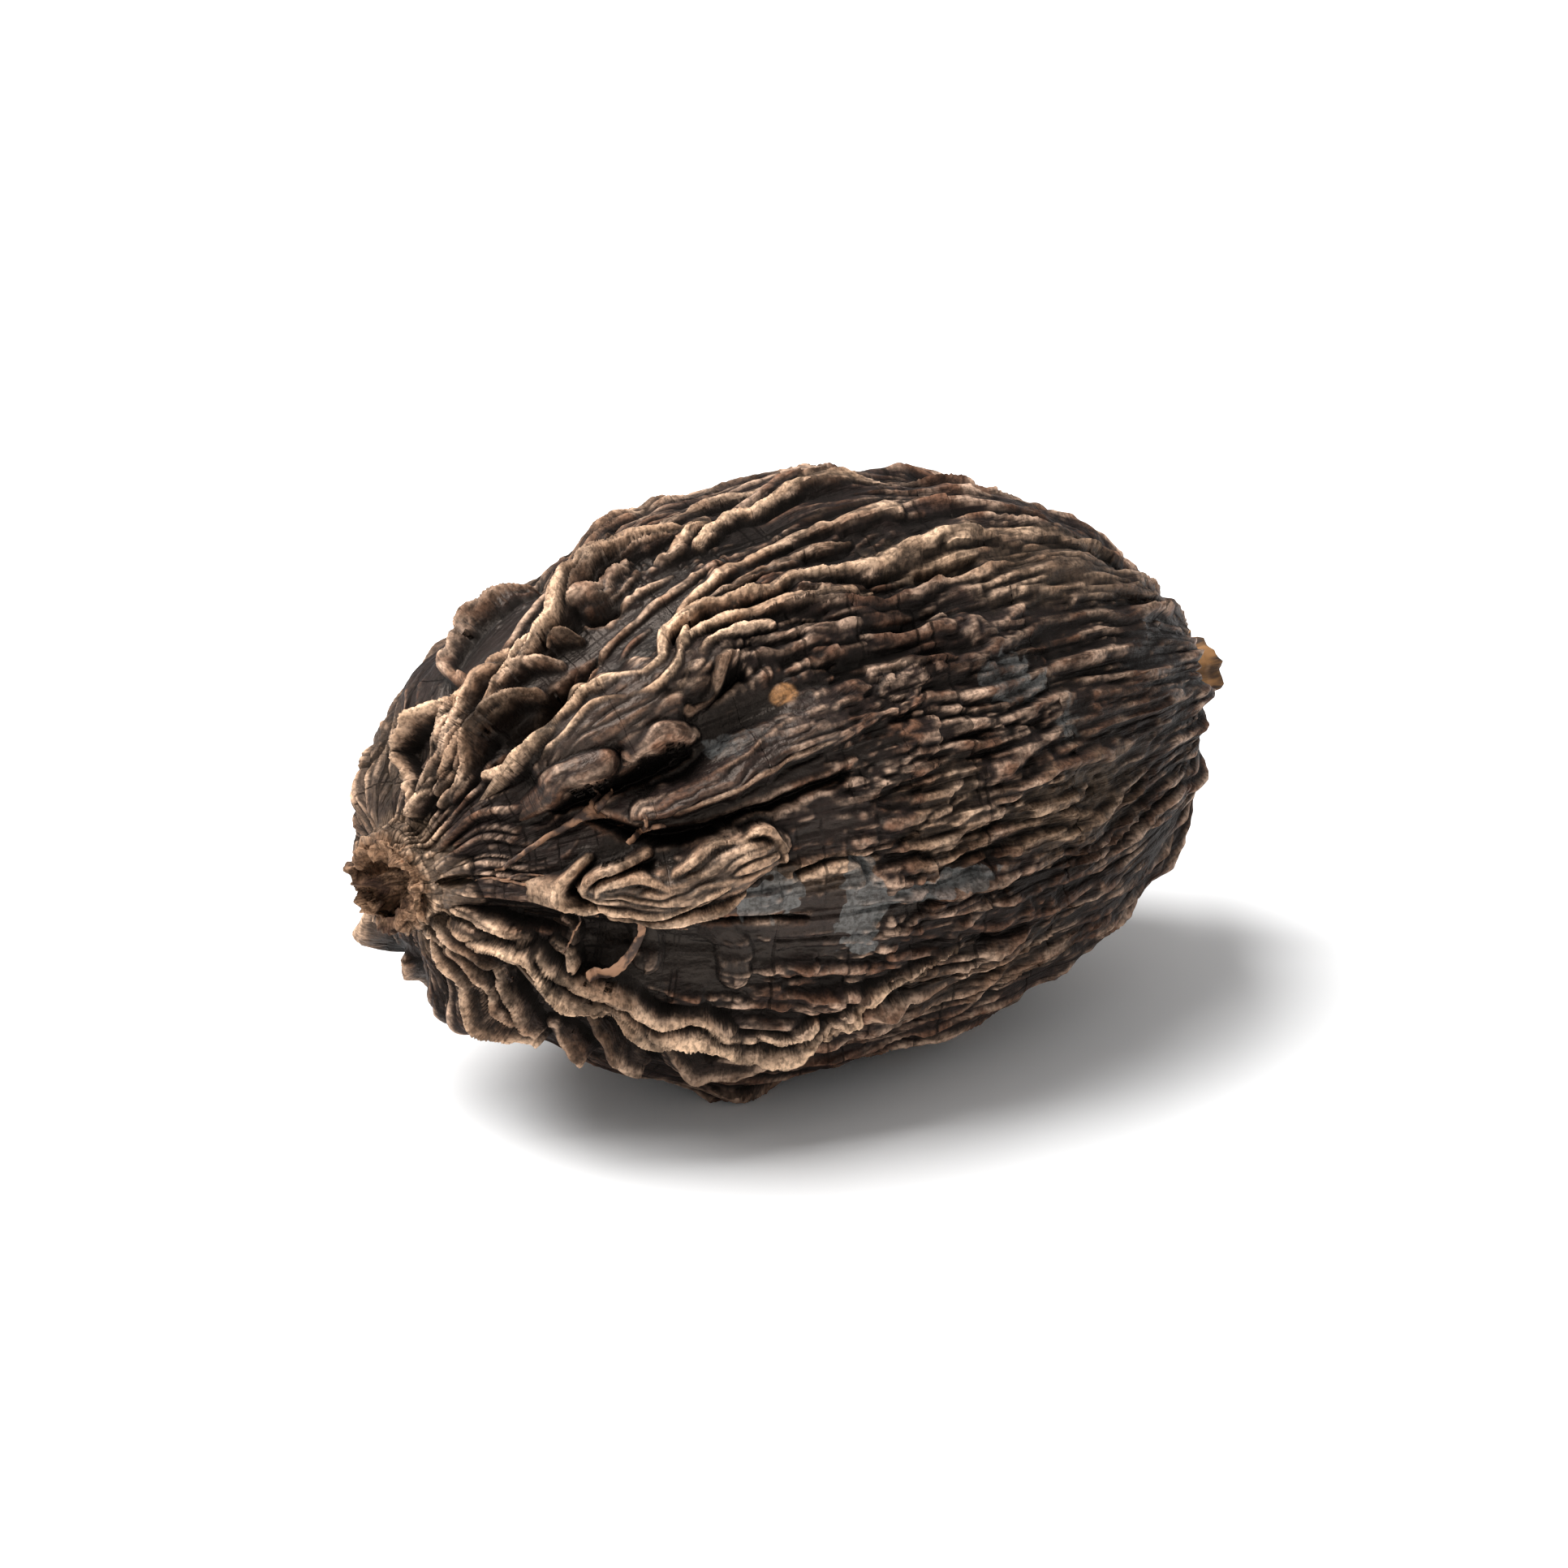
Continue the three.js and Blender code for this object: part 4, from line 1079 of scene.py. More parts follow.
@dataclass(frozen=True)
class HuskFinish:
    """Dried fruit husk, cured over smoke: fibrous, near black, matte on worn crests.

    The valleys are near black: the skin's own smoke-cured dark colour, deepened with painted shade,
    under a faint satin film. The crests are brown and tan: fibre rubbed bare by handling, lightened with
    painted highlight.
    """

    name: str = "smoke_cured_husk"
    # valley: the skin's dark colour, deepened to near black as painted shade in the low places
    valley: str = "#050404"
    body: str = "#261c1a"
    # crest, rust and bare fibre: the crests' rubbed tan fibre, made light enough to stand as painted
    # highlight too
    crest: str = "#e2bda2"
    rust: str = "#9c6f55"
    bare_fibre: str = "#f5cda8"
    crumb: str = "#b78f70"
    crumb_dark: str = "#4c352a"
    film: str = "#7d7e7c"
    resin: str = "#9c7048"
    wax: str = "#f2dccb"  # warm tint of the glancing light, from the skin's oils
    cloud_mm: float = 3.0  # size of the areas where the crests' wear and painted highlight are stronger or weaker
    mottle_mm: float = 1.6  # size of the blotches that vary the crests' wear, painted highlight and colour, the crumbs and the film
    grain_mm: float = 0.08  # size of the skin's pebbled grain
    fibre_mm: float = 0.13  # width of the finest fibres, drawn coarse enough to show
    film_cover: float = 0.85  # how far the waxy film hides the skin under it
    cavity_shade: float = 0.85  # how dark the painted shade in the fine creases is
    sunk_shade: float = 0.92  # how dark the painted shade is in hollows, on faces turned from the light and at the stalk end
    ior: float = 1.47  # plant wax and oil

    def build(self) -> bpy.types.Material:
        """Makes the material.

        Returns:
            The husk's material, which reads the skin's own tone attributes.
        """
        material, tree = new_material(self.name)
        tone = {
            name: add_node(tree, "ShaderNodeAttribute", {"attribute_name": name}).outputs["Fac"]
            for name in ("crest", "ridge", "cavity", "tan", "bloom", "amber", "calm", "painted_shade", "raw")
        }
        pattern = self.patterns(tree)
        less_calm = add_node(tree, "ShaderNodeMath", SUBTRACT, {0: 1.0, 1: tone["calm"]})
        matte = add_node(tree, "ShaderNodeMath", MAXIMUM, {
            0: less_calm.outputs["Value"], 1: tone["crest"],
        }).outputs["Value"]
        share = self.ranges(tree, {
            "rough": (matte, 0.0, 1.0, 0.42, 0.6),
            "gloss": (matte, 0.0, 1.0, 0.42, 0.22),
            "relief": (tone["calm"], 0.0, 1.0, 1.0, 0.3),
        })
        bump = add_node(tree, "ShaderNodeBump", {}, {
            "Height": pattern["grain"], "Strength": 0.8, "Distance": 0.045 * MM,
        }).outputs["Normal"]
        bump = add_node(tree, "ShaderNodeBump", {}, {
            "Height": pattern["fibres"], "Strength": share["relief"], "Distance": 0.14 * MM,
            "Normal": bump,
        }).outputs["Normal"]
        shader = add_node(tree, "ShaderNodeBsdfPrincipled", {}, {
            "Base Color": self.colour(tree, tone, pattern), "Roughness": share["rough"],
            "Specular IOR Level": share["gloss"], "Normal": bump, "IOR": self.ior,
            "Specular Tint": srgb(self.wax),
        })
        add_node(tree, "ShaderNodeOutputMaterial", {}, {"Surface": shader.outputs["BSDF"]})
        return material

    def patterns(self, tree: bpy.types.NodeTree) -> dict[str, Socket]:
        """Adds the noises that vary the skin.

        Args:
            tree: the material's node tree.

        Returns:
            The noises by name. The fibres follow the ribs and folds, the others lie anyhow.
        """
        place = add_node(tree, "ShaderNodeTexCoord").outputs["Object"]
        flow = add_node(tree, "ShaderNodeAttribute", {"attribute_name": "flow"}).outputs["Vector"]
        per_mm = 1 / MM
        noises = {
            "grain": (place, per_mm / self.grain_mm / 2, 2.0, 0.6),
            "fibres": (flow, 1 / self.fibre_mm / 2, 3.0, 0.65),
            "mottle": (place, per_mm / self.mottle_mm, 4.0, 0.6),
            "cloud": (place, per_mm / self.cloud_mm / 2, 2.0, 0.5),
        }
        return {
            name: add_node(tree, "ShaderNodeTexNoise", {"noise_dimensions": "3D"}, {
                "Vector": vector, "Scale": scale, "Detail": detail, "Roughness": roughness,
            }).outputs["Fac"]
            for name, (vector, scale, detail, roughness) in noises.items()
        }

    def ranges(self, tree: bpy.types.NodeTree, wanted: dict[str, tuple]) -> dict[str, Socket]:
        """Maps values smoothly from one range to another.

        Args:
            tree: the material's node tree.
            wanted: by name, a value, its low and high, and what these become.

        Returns:
            The mapped values by name.
        """
        return {
            name: add_node(tree, "ShaderNodeMapRange", SMOOTH_RANGE, {
                "Value": value, "From Min": low, "From Max": high, "To Min": start, "To Max": end,
            }).outputs["Result"]
            for name, (value, low, high, start, end) in wanted.items()
        }

    def colour(self, tree: bpy.types.NodeTree, tone: dict[str, Socket],
               pattern: dict[str, Socket]) -> Socket:
        """Lays the skin's colours over each other, from the dark valleys up, with painted shade and painted
        highlight.

        Args:
            tree: the material's node tree.
            tone: the skin's tones.
            pattern: the noises that vary it.

        Returns:
            The colour.
        """
        grain, fibres, mottle = pattern["grain"], pattern["fibres"], pattern["mottle"]
        patchy = add_node(tree, "ShaderNodeMath", ADD, {0: grain, 1: 0.5}).outputs["Value"]
        patchy = add_node(tree, "ShaderNodeMath", MULTIPLY, {0: mottle, 1: patchy}).outputs["Value"]
        patchy = add_node(tree, "ShaderNodeMath", ADD, {
            0: tone["bloom"], 1: patchy,
        }).outputs["Value"]
        patchy = add_node(tree, "ShaderNodeMath", SUBTRACT, {0: patchy, 1: 0.5}).outputs["Value"]
        share = self.ranges(tree, {
            "wear_and_highlight_blotches": (mottle, 0.3, 0.62, 0.5, 1.0),
            "wear_and_highlight_clouds": (pattern["cloud"], 0.36, 0.6, 0.5, 1.0),
            "wear_and_highlight_fibres": (fibres, 0.34, 0.56, 0.5, 1.0),
            "pale_blotches": (mottle, 0.4, 0.6, 0.0, 1.0),
            "pale_crumbs": (mottle, 0.38, 0.62, 0.0, 1.0),
            "film": (patchy, 0.3, 0.64, 0.0, self.film_cover),
            "pits": (grain, 0.4, 0.66, 0.0, 0.55),
            "gaps": (fibres, 0.34, 0.48, 0.5, 0.0),
        })
        # the crests' light colour is partly rubbed fibre and partly painted highlight; noise breaks it up
        crest = tone["crest"]
        for name in ("wear_and_highlight_blotches", "wear_and_highlight_clouds", "wear_and_highlight_fibres"):
            crest = add_node(tree, "ShaderNodeMath", MULTIPLY, {
                0: crest, 1: share[name],
            }).outputs["Value"]
        # bare tan fibre, strongest where the crest's painted highlight is
        bare = add_node(tree, "ShaderNodeMath", ADD, {0: crest, 1: 0.12}).outputs["Value"]
        bare = add_node(tree, "ShaderNodeMath", MULTIPLY, {0: tone["tan"], 1: bare}).outputs["Value"]
        # painted shade: the fine creases are darkened towards the valley colour
        creases = add_node(tree, "ShaderNodeMath", MULTIPLY, {
            0: tone["cavity"], 1: self.cavity_shade,
        }).outputs["Value"]
        # painted shade in hollows, on faces turned from the light and over the dim stalk end
        painted_shade_cover = add_node(tree, "ShaderNodeMath", MULTIPLY, {
            0: tone["painted_shade"], 1: self.sunk_shade,
        }).outputs["Value"]
        worn_and_highlit_skin = add_node(tree, "ShaderNodeMix", MIX_COLOURS, {
            "Factor": share["pale_blotches"], "A": srgb(self.rust), "B": srgb(self.crest),
        }).outputs["Result"]
        crumbs = add_node(tree, "ShaderNodeMix", MIX_COLOURS, {
            "Factor": share["pale_crumbs"], "A": srgb(self.crumb_dark), "B": srgb(self.crumb),
        }).outputs["Result"]
        dark = srgb(self.valley)
        colour = dark
        # below the ridges the near-black valley colour stays as painted shade; the body colour covers the
        # rises
        for cover, over in (
            (tone["ridge"], srgb(self.body)),
            (crest, worn_and_highlit_skin),
            (bare, srgb(self.bare_fibre)),
            (creases, dark),
            (painted_shade_cover, dark),
            (share["film"], srgb(self.film)),
            (tone["amber"], srgb(self.resin)),
            (tone["raw"], crumbs),
            (share["pits"], dark),
            (share["gaps"], dark),
        ):
            colour = add_node(tree, "ShaderNodeMix", MIX_COLOURS, {
                "Factor": cover, "A": colour, "B": over,
            }).outputs["Result"]
        return colour


@dataclass(frozen=True)
class StalkFinish:
    """Dried stalk: a torn bundle of fibres, matte tan brown with dark gaps along the grain."""

    name: str = "dried_stalk_fibre"
    gap: str = "#2e1f14"
    fibre: str = "#8b6238"
    fibre_mm: float = 0.16  # width of a bundle of fibres
    bundle_stretch: float = 0.18  # width of a streak as a share of its length

    def build(self) -> bpy.types.Material:
        """Makes the material, streaked along the pod's axis."""
        material, tree = new_material(self.name)
        place = add_node(tree, "ShaderNodeTexCoord").outputs["Object"]
        stretched = add_node(tree, "ShaderNodeMapping", {}, {
            "Vector": place, "Scale": (self.bundle_stretch, 1.0, 1.0),
        }).outputs["Vector"]
        streaks = add_node(tree, "ShaderNodeTexNoise", {"noise_dimensions": "3D"}, {
            "Vector": stretched, "Scale": 1 / (self.fibre_mm * MM) / 2, "Detail": 4.0,
        }).outputs["Fac"]
        share = add_node(tree, "ShaderNodeMapRange", SMOOTH_RANGE, {
            "Value": streaks, "From Min": 0.36, "From Max": 0.62,
        }).outputs["Result"]
        colour = add_node(tree, "ShaderNodeMix", MIX_COLOURS, {
            "Factor": share, "A": srgb(self.gap), "B": srgb(self.fibre),
        }).outputs["Result"]
        bump = add_node(tree, "ShaderNodeBump", {}, {
            "Height": streaks, "Strength": 0.6, "Distance": 0.06 * MM,
        }).outputs["Normal"]
        shader = add_node(tree, "ShaderNodeBsdfPrincipled", {}, {
            "Base Color": colour, "Roughness": 0.82, "Normal": bump, "IOR": 1.5,
        })
        add_node(tree, "ShaderNodeOutputMaterial", {}, {"Surface": shader.outputs["BSDF"]})
        return material


@dataclass(frozen=True)
class FibreFinish:
    """Torn husk fibre: dry, thin strands that have lost their dark skin, matte and light tan."""

    name: str = "torn_husk_fibre"
    fibre: str = "#9c7458"
    stain: str = "#3c2a20"
    stain_mm: float = 0.5  # size of the stains

    def build(self) -> bpy.types.Material:
        """Makes the material, stained in places where dark skin still clings to it."""
        material, tree = new_material(self.name)
        place = add_node(tree, "ShaderNodeTexCoord").outputs["Object"]
        stains = add_node(tree, "ShaderNodeTexNoise", {"noise_dimensions": "3D"}, {
            "Vector": place, "Scale": 1 / (self.stain_mm * MM), "Detail": 3.0,
        }).outputs["Fac"]
        share = add_node(tree, "ShaderNodeMapRange", SMOOTH_RANGE, {
            "Value": stains, "From Min": 0.4, "From Max": 0.6,
        }).outputs["Result"]
        colour = add_node(tree, "ShaderNodeMix", MIX_COLOURS, {
            "Factor": share, "A": srgb(self.stain), "B": srgb(self.fibre),
        }).outputs["Result"]
        shader = add_node(tree, "ShaderNodeBsdfPrincipled", {}, {
            "Base Color": colour, "Roughness": 0.7, "IOR": 1.5,
        })
        add_node(tree, "ShaderNodeOutputMaterial", {}, {"Surface": shader.outputs["BSDF"]})
        return material


@dataclass(frozen=True)
class FloorFinish:
    """Matte white paper: even and without gloss."""

    name: str = "white_paper"
    colour: str = "#f3f3f3"

    def build(self) -> bpy.types.Material:
        """Makes the material."""
        material, tree = new_material(self.name)
        shader = add_node(tree, "ShaderNodeBsdfPrincipled", {}, {
            "Base Color": srgb(self.colour), "Roughness": 0.9, "Specular IOR Level": 0.1,
        })
        add_node(tree, "ShaderNodeOutputMaterial", {}, {"Surface": shader.outputs["BSDF"]})
        return material


# ---------------------------------------------------------------------------------------------
# Pieces
# ---------------------------------------------------------------------------------------------


@dataclass(frozen=True)
class Axis:
    """Where the pod's axis lies in the row frame, in metres: the girth's middle."""

    x: float
    y: float
    z: float

    @classmethod
    def from_frame(cls) -> "Axis":
        """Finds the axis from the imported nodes: the neck's rim stands at a known station.

        Returns:
            The axis, at the height of the stub's middle.
        """
        low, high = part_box("stalk_stub")
        pod_low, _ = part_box("pod")
        return cls(pod_low[0] - (PACKED_RIM_X - PACKED_RIM_ROUNDING) * MM,
                   (low[1] + high[1]) / 2, (low[2] + high[2]) / 2)

    def to_row(self, points: Array) -> Array:
        """Points in mm about the axis, as metres in the row frame."""
        return points * MM + np.array([self.x, self.y, self.z])


def make_piece(name: str, mesh: bpy.types.Mesh, material: bpy.types.Material) -> bpy.types.Object:
    """Puts a finished mesh into the scene as a piece of the pod.

    Args:
        name: the piece's name.
        mesh: its mesh, in the row frame.
        material: its finish.

    Returns:
        The new object, riding on the root body.
    """
    piece = bpy.data.objects.new(name, mesh)
    bpy.context.scene.collection.objects.link(piece)
    mesh.materials.append(material)
    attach(piece, ROOT)
    LOG.info("%s: %d faces", name, len(mesh.polygons))
    return piece


@dataclass(frozen=True)
class Band:
    """A band of the husk's skin.

    Attributes:
        name: its piece's name.
        end: the way along at its end, in mm.
        rings: rows of vertices in it.
        spokes: vertices in each row, so many that its cells are about square.
    """

    name: str
    end: float
    rings: int
    spokes: int


@dataclass
class Husk:
    """The husk's skin, from the floor of the neck's bore to the dimple of the stalk.

    It is cut into bands that meet edge to edge, so that each mesh stays light enough.

    Attributes:
        axis: the pod's axis.
        skin: the sculpted skin.
        surface: its points.
        bands: its bands, from the neck to the stalk.
        cap_depth: how far the middle of a cut's hidden cap is drawn into its band, in mm.
        closed_radius: a ring smaller than this, in mm, closes the skin and needs no such cap.
        ground_z: the flattened underside lies on this height, in metres.
    """

    axis: Axis
    skin: Skin
    surface: Array
    bands: tuple[Band, ...] = (
        Band("husk_neck", 5.8, 206, 480), Band("husk_collar", 9.0, 112, 880),
        Band("husk_shoulder", 12.6, 104, 940), Band("husk_girth", 17.4, 108, 910),
        Band("husk_flank", 23.6, 118, 830), Band("husk_stalk_end", 99.0, 165, 590))
    cap_depth: float = 1.5
    closed_radius: float = 0.2
    ground_z: float = 0.0

    def build(self, material: bpy.types.Material) -> list[bpy.types.Object]:
        """Builds the husk.

        Args:
            material: the husk's finish.

        Returns:
            The finished pieces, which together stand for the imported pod.
        """
        along = self.skin.along
        layers = self.tone_layers()
        pieces = []
        first = 0
        for band in self.bands:
            last = min(int(np.searchsorted(along, band.end)), len(along) - 1)
            drape = Drape(band.rings, band.spokes)
            even = np.linspace(along[first], along[last], band.rings)
            drape.relax(self.surface, np.interp(even, along[first:last + 1],
                                                np.arange(first, last + 1)))
            pieces.append(self.build_band(band, drape, layers, material))
            first = last
        return pieces

    def build_band(self, band: Band, drape: Drape, layers: dict[str, Array],
                   material: bpy.types.Material) -> bpy.types.Object:
        """Builds one band as a closed piece, with a hidden cap over each cut.

        Args:
            band: the band.
            drape: the net over the band.
            layers: the skin's tones.
            material: the husk's finish.

        Returns:
            The finished piece.
        """
        points = self.axis.to_row(drape.sample(self.surface))
        points[..., 2] = np.maximum(points[..., 2], self.ground_z)
        ends = []
        for ring, inwards in ((0, 1), (-1, -1)):
            middle = points[ring].mean(axis=0)
            wide = np.linalg.norm(points[ring] - middle, axis=1).max() > self.closed_radius * MM
            ends.append(middle + [inwards * self.cap_depth * MM * wide, 0, 0])
        mesh = self.closed_tube(band)
        ring, spoke, pole = self.net_of(mesh, band)
        places = points[ring, spoke]
        places[pole == 1] = ends[0]
        places[pole == 2] = ends[1]
        mesh.vertices.foreach_set("co", places.astype(np.float32).ravel())
        corners = np.empty(len(mesh.loops), np.int32)
        mesh.loops.foreach_get("vertex_index", corners)
        starts = np.empty(len(mesh.polygons), np.int32)
        mesh.polygons.foreach_get("loop_start", starts)
        smooth = np.maximum.reduceat(pole[corners], starts) == 0
        mesh.polygons.foreach_set("use_smooth", smooth)
        for layer_name, layer in layers.items():
            values = drape.sample(layer)[ring, spoke]
            mesh.attributes.new(layer_name, "FLOAT", "POINT").data.foreach_set(
                "value", np.clip(values, 0, 1).astype(np.float32))
        flow = drape.sample(np.stack(self.skin.flow, axis=-1))[ring, spoke]
        mesh.attributes.new("flow", "FLOAT_VECTOR", "POINT").data.foreach_set(
            "vector", flow.astype(np.float32).ravel())
        mesh.update()
        piece = make_piece(band.name, mesh, material)
        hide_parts("pod")
        return piece

    def closed_tube(self, band: Band) -> bpy.types.Mesh:
        """Draws a circle out into a tube of unit radius, one unit for each ring, with two caps.

        Args:
            band: the band that it becomes.

        Returns:
            The tube, on the Z axis.
        """
        tube = bmesh.new()
        bmesh.ops.create_circle(tube, cap_ends=True, cap_tris=True, segments=band.spokes, radius=1)
        edges = [edge for edge in tube.edges if edge.is_boundary]
        for _ in range(band.rings - 1):
            made = bmesh.ops.extrude_edge_only(tube, edges=edges)["geom"]
            edges = [item for item in made if isinstance(item, bmesh.types.BMEdge)]
            verts = [item for item in made if isinstance(item, bmesh.types.BMVert)]
            bmesh.ops.translate(tube, verts=verts, vec=(0, 0, 1))
        cap = bmesh.ops.holes_fill(tube, edges=edges, sides=0)["faces"]
        bmesh.ops.poke(tube, faces=cap)
        bmesh.ops.recalc_face_normals(tube, faces=tube.faces)
        mesh = bpy.data.meshes.new(band.name)
        tube.to_mesh(mesh)
        tube.free()
        return mesh

    def net_of(self, mesh: bpy.types.Mesh, band: Band) -> tuple[Array, Array, Array]:
        """Ring and spoke of each vertex of the closed tube.

        Args:
            mesh: the tube.
            band: the band that it becomes.

        Returns:
            Ring numbers, spoke numbers, and which cap's middle a vertex is: 1 for the first cap,
            2 for the last, 0 for neither.
        """
        places = np.empty(len(mesh.vertices) * 3, np.float32)
        mesh.vertices.foreach_get("co", places)
        x, y, z = places.reshape(-1, 3).T.astype(float)
        ring = np.rint(z).astype(int)
        spoke = np.rint(np.arctan2(y, x) / (2 * np.pi) * band.spokes).astype(int) % band.spokes
        pole = np.where(np.hypot(x, y) > 0.5, 0, np.where(ring == 0, 1, 2))
        return ring, spoke, pole

    def tone_layers(self) -> dict[str, Array]:
        """The skin's tones: crests (worn fibre and painted highlight), ridges, creases (painted shade),
        patches.

        Returns:
            One layer for each attribute that the finish reads, apart from the flow.
        """
        skin = self.skin
        edge = skin.height - skin.blur(skin.height, 2.5)
        fine = skin.height - skin.blur(skin.height, 6.0)
        broad = skin.height - skin.blur(skin.height, 16.0)
        return {
            # crest: lighter colour on sharp rises, partly worn fibre and partly painted highlight
            "crest": ease(0.6 * fine + 3.2 * edge + 0.1 * broad, 0.05, 0.36),
            # ridge: where this is low, the near-black valley colour is left as painted shade
            "ridge": ease(broad, -0.25, 0.15),
            # cavity: painted shade in the fine creases
            "cavity": ease(-0.5 * fine - 3.2 * edge, 0.03, 0.24),
            **{tone.value: skin.tones[tone] for tone in Tone if tone is not Tone.BARK},
        }


@dataclass(frozen=True)
class Fibre:
    """A loose fibre torn out of the skin.

    Attributes:
        path: the points it runs through: along (mm), around (degrees), height over the skin (mm)
            and radius (mm).
        flatness: its thickness as a share of its width.
    """

    path: tuple[tuple[float, float, float, float], ...]
    flatness: float = 0.6


FIBRES = (
    # the star: a strand that lifts off the neck and forks
    Fibre(((3.6, 71, 0.02, 0.05), (4.0, 69, 0.1, 0.07), (4.6, 65, 0.25, 0.08), (5.4, 62, 0.35, 0.09),
           (6.2, 60, 0.4, 0.12), (6.7, 58.2, 0.4, 0.16), (7.4, 57, 0.35, 0.1), (7.8, 53, 0.1, 0.04))),
    Fibre(((6.4, 59.5, 0.35, 0.1), (7.0, 60.5, 0.4, 0.09), (7.6, 61, 0.1, 0.04))),
    Fibre(((6.5, 59, 0.4, 0.12), (6.9, 56.5, 0.4, 0.08), (7.2, 54, 0.3, 0.05), (7.3, 51, 0.1, 0.03))),
    # the forked fibre that stands in the dark hollow
    Fibre(((7.9, 70.5, 0.0, 0.09), (8.1, 68.5, 0.3, 0.1), (8.3, 66.5, 0.5, 0.1), (8.35, 64.8, 0.6, 0.07),
           (8.4, 62.5, 0.5, 0.04))),
    Fibre(((8.2, 67.4, 0.4, 0.1), (8.7, 66.8, 0.5, 0.08), (9.1, 67.4, 0.3, 0.04))),
    # the web of threads below the flap
    Fibre(((2.2, 76, 0.05, 0.03), (3.0, 74.6, 0.1, 0.035), (3.7, 75.5, 0.1, 0.04), (4.3, 78, 0.1, 0.04),
           (4.9, 80, 0.1, 0.04), (5.4, 84, 0.15, 0.04), (5.6, 87, 0.05, 0.03))),
    Fibre(((3.7, 75.5, 0.1, 0.03), (4.2, 74.2, 0.12, 0.03), (4.8, 75, 0.1, 0.03), (5.3, 76, 0.05, 0.02))),
    Fibre(((5.6, 84, 0.1, 0.05), (5.9, 87, 0.2, 0.06), (6.3, 90, 0.2, 0.05), (6.6, 93, 0.1, 0.03))),
    Fibre(((5.0, 80, 0.1, 0.05), (5.3, 82.5, 0.2, 0.06), (5.3, 85.5, 0.25, 0.05), (5.6, 88.5, 0.1, 0.02))),
    # threads across the hollow over the skirt fold
    Fibre(((6.0, 92, 0.1, 0.03), (5.8, 95, 0.4, 0.035), (5.6, 98, 0.5, 0.035), (5.6, 101, 0.4, 0.035),
           (5.7, 104.5, 0.1, 0.03))),
    Fibre(((7.9, 91.5, 0.2, 0.12), (7.7, 95, 0.7, 0.14), (7.4, 99, 1.0, 0.17), (7.1, 103, 1.1, 0.22),
           (6.7, 108, 0.9, 0.3), (6.4, 111, 0.4, 0.36)), flatness=0.2),
    Fibre(((8.0, 91, 0.2, 0.06), (8.3, 92.5, 0.35, 0.05), (8.8, 92, 0.4, 0.04), (9.3, 90.5, 0.3, 0.02))),
    Fibre(((8.0, 92, 0.2, 0.05), (8.3, 94, 0.4, 0.04), (8.7, 95, 0.4, 0.02))),
    # threads of the underside
    Fibre(((7.1, 119, 0.1, 0.05), (6.8, 123, 0.4, 0.045), (6.5, 128, 0.6, 0.04), (6.4, 132, 0.5, 0.05),
           (6.3, 138, 0.1, 0.06))),
    Fibre(((3.9, 127, 0.05, 0.03), (4.0, 130, 0.3, 0.03), (4.2, 132.5, 0.3, 0.03), (4.4, 135, 0.05, 0.03))),
)


@dataclass
class LooseFibres:
    """The threads and ribbons that stand loose on the torn side of the neck end.

    Attributes:
        axis: the pod's axis.
        sides: corners of a thread's section.
        steps: pieces between two points of its path.
    """

    axis: Axis
    sides: int = 8
    steps: int = 8

    def build(self, skin: Skin, surface: Array, material: bpy.types.Material) -> bpy.types.Object:
        """Builds all fibres as one piece.

        Args:
            skin: the sculpted skin that they lie on.
            surface: its points.
            material: their finish.

        Returns:
            The finished piece.
        """
        threads = bmesh.new()
        for fibre in FIBRES:
            self.add_thread(threads, fibre, skin, surface)
        bmesh.ops.recalc_face_normals(threads, faces=threads.faces)
        mesh = bpy.data.meshes.new("husk_fibres")
        threads.to_mesh(mesh)
        threads.free()
        mesh.polygons.foreach_set("use_smooth", np.ones(len(mesh.polygons), bool))
        return make_piece("husk_fibres", mesh, material)

    def add_thread(self, threads: bmesh.types.BMesh, fibre: Fibre, skin: Skin,
                   surface: Array) -> None:
        """Adds one fibre: a circle that is drawn along its path and tapers with it.

        Args:
            threads: the mesh that it goes to.
            fibre: the fibre.
            skin: the sculpted skin.
            surface: its points.
        """
        path = smooth_path(np.array(fibre.path), self.steps)
        places = [Vector(self.place(skin, surface, along, around, lift))
                  for along, around, lift, _ in path]
        middle = Vector((self.axis.x, self.axis.y, self.axis.z))
        face = None
        previous = None
        for number, place in enumerate(places):
            ahead = places[min(number + 1, len(places) - 1)] - places[max(number - 1, 0)]
            tangent = ahead.normalized()
            outward = place - middle
            outward.x = 0
            outward = (outward - tangent * outward.dot(tangent)).normalized()
            radius = float(path[number, 3]) * MM
            frame_at = Matrix.Translation(place) @ Matrix(
                (tangent.cross(outward) * radius, outward * radius * fibre.flatness,
                 tangent * radius)).transposed().to_4x4()
            if face is None:
                made = bmesh.ops.create_circle(threads, cap_ends=True, segments=self.sides, radius=1,
                                               matrix=frame_at)
                face = made["verts"][0].link_faces[0]
            else:
                made = bmesh.ops.extrude_face_region(threads, geom=[face])
                face = next(item for item in made["geom"] if isinstance(item, bmesh.types.BMFace))
                bmesh.ops.transform(threads, matrix=frame_at @ previous.inverted(),
                                    verts=face.verts)
            previous = frame_at

    def place(self, skin: Skin, surface: Array, along: float, around: float, lift: float) -> Array:
        """A place at a height over the skin.

        Args:
            skin: the sculpted skin.
            surface: its points.
            along: the way along, in mm.
            around: degrees around.
            lift: height over the skin, in mm.

        Returns:
            The place in the row frame.
        """
        row = int(np.searchsorted(skin.along, along))
        column = int((around + 180) / 360 * skin.columns) % skin.columns
        near = surface[row - 2:row + 3, column - 2:column + 3].mean(axis=(0, 1))
        outward = near * [0, 1, 1]
        return self.axis.to_row(near + outward / np.linalg.norm(outward) * lift)


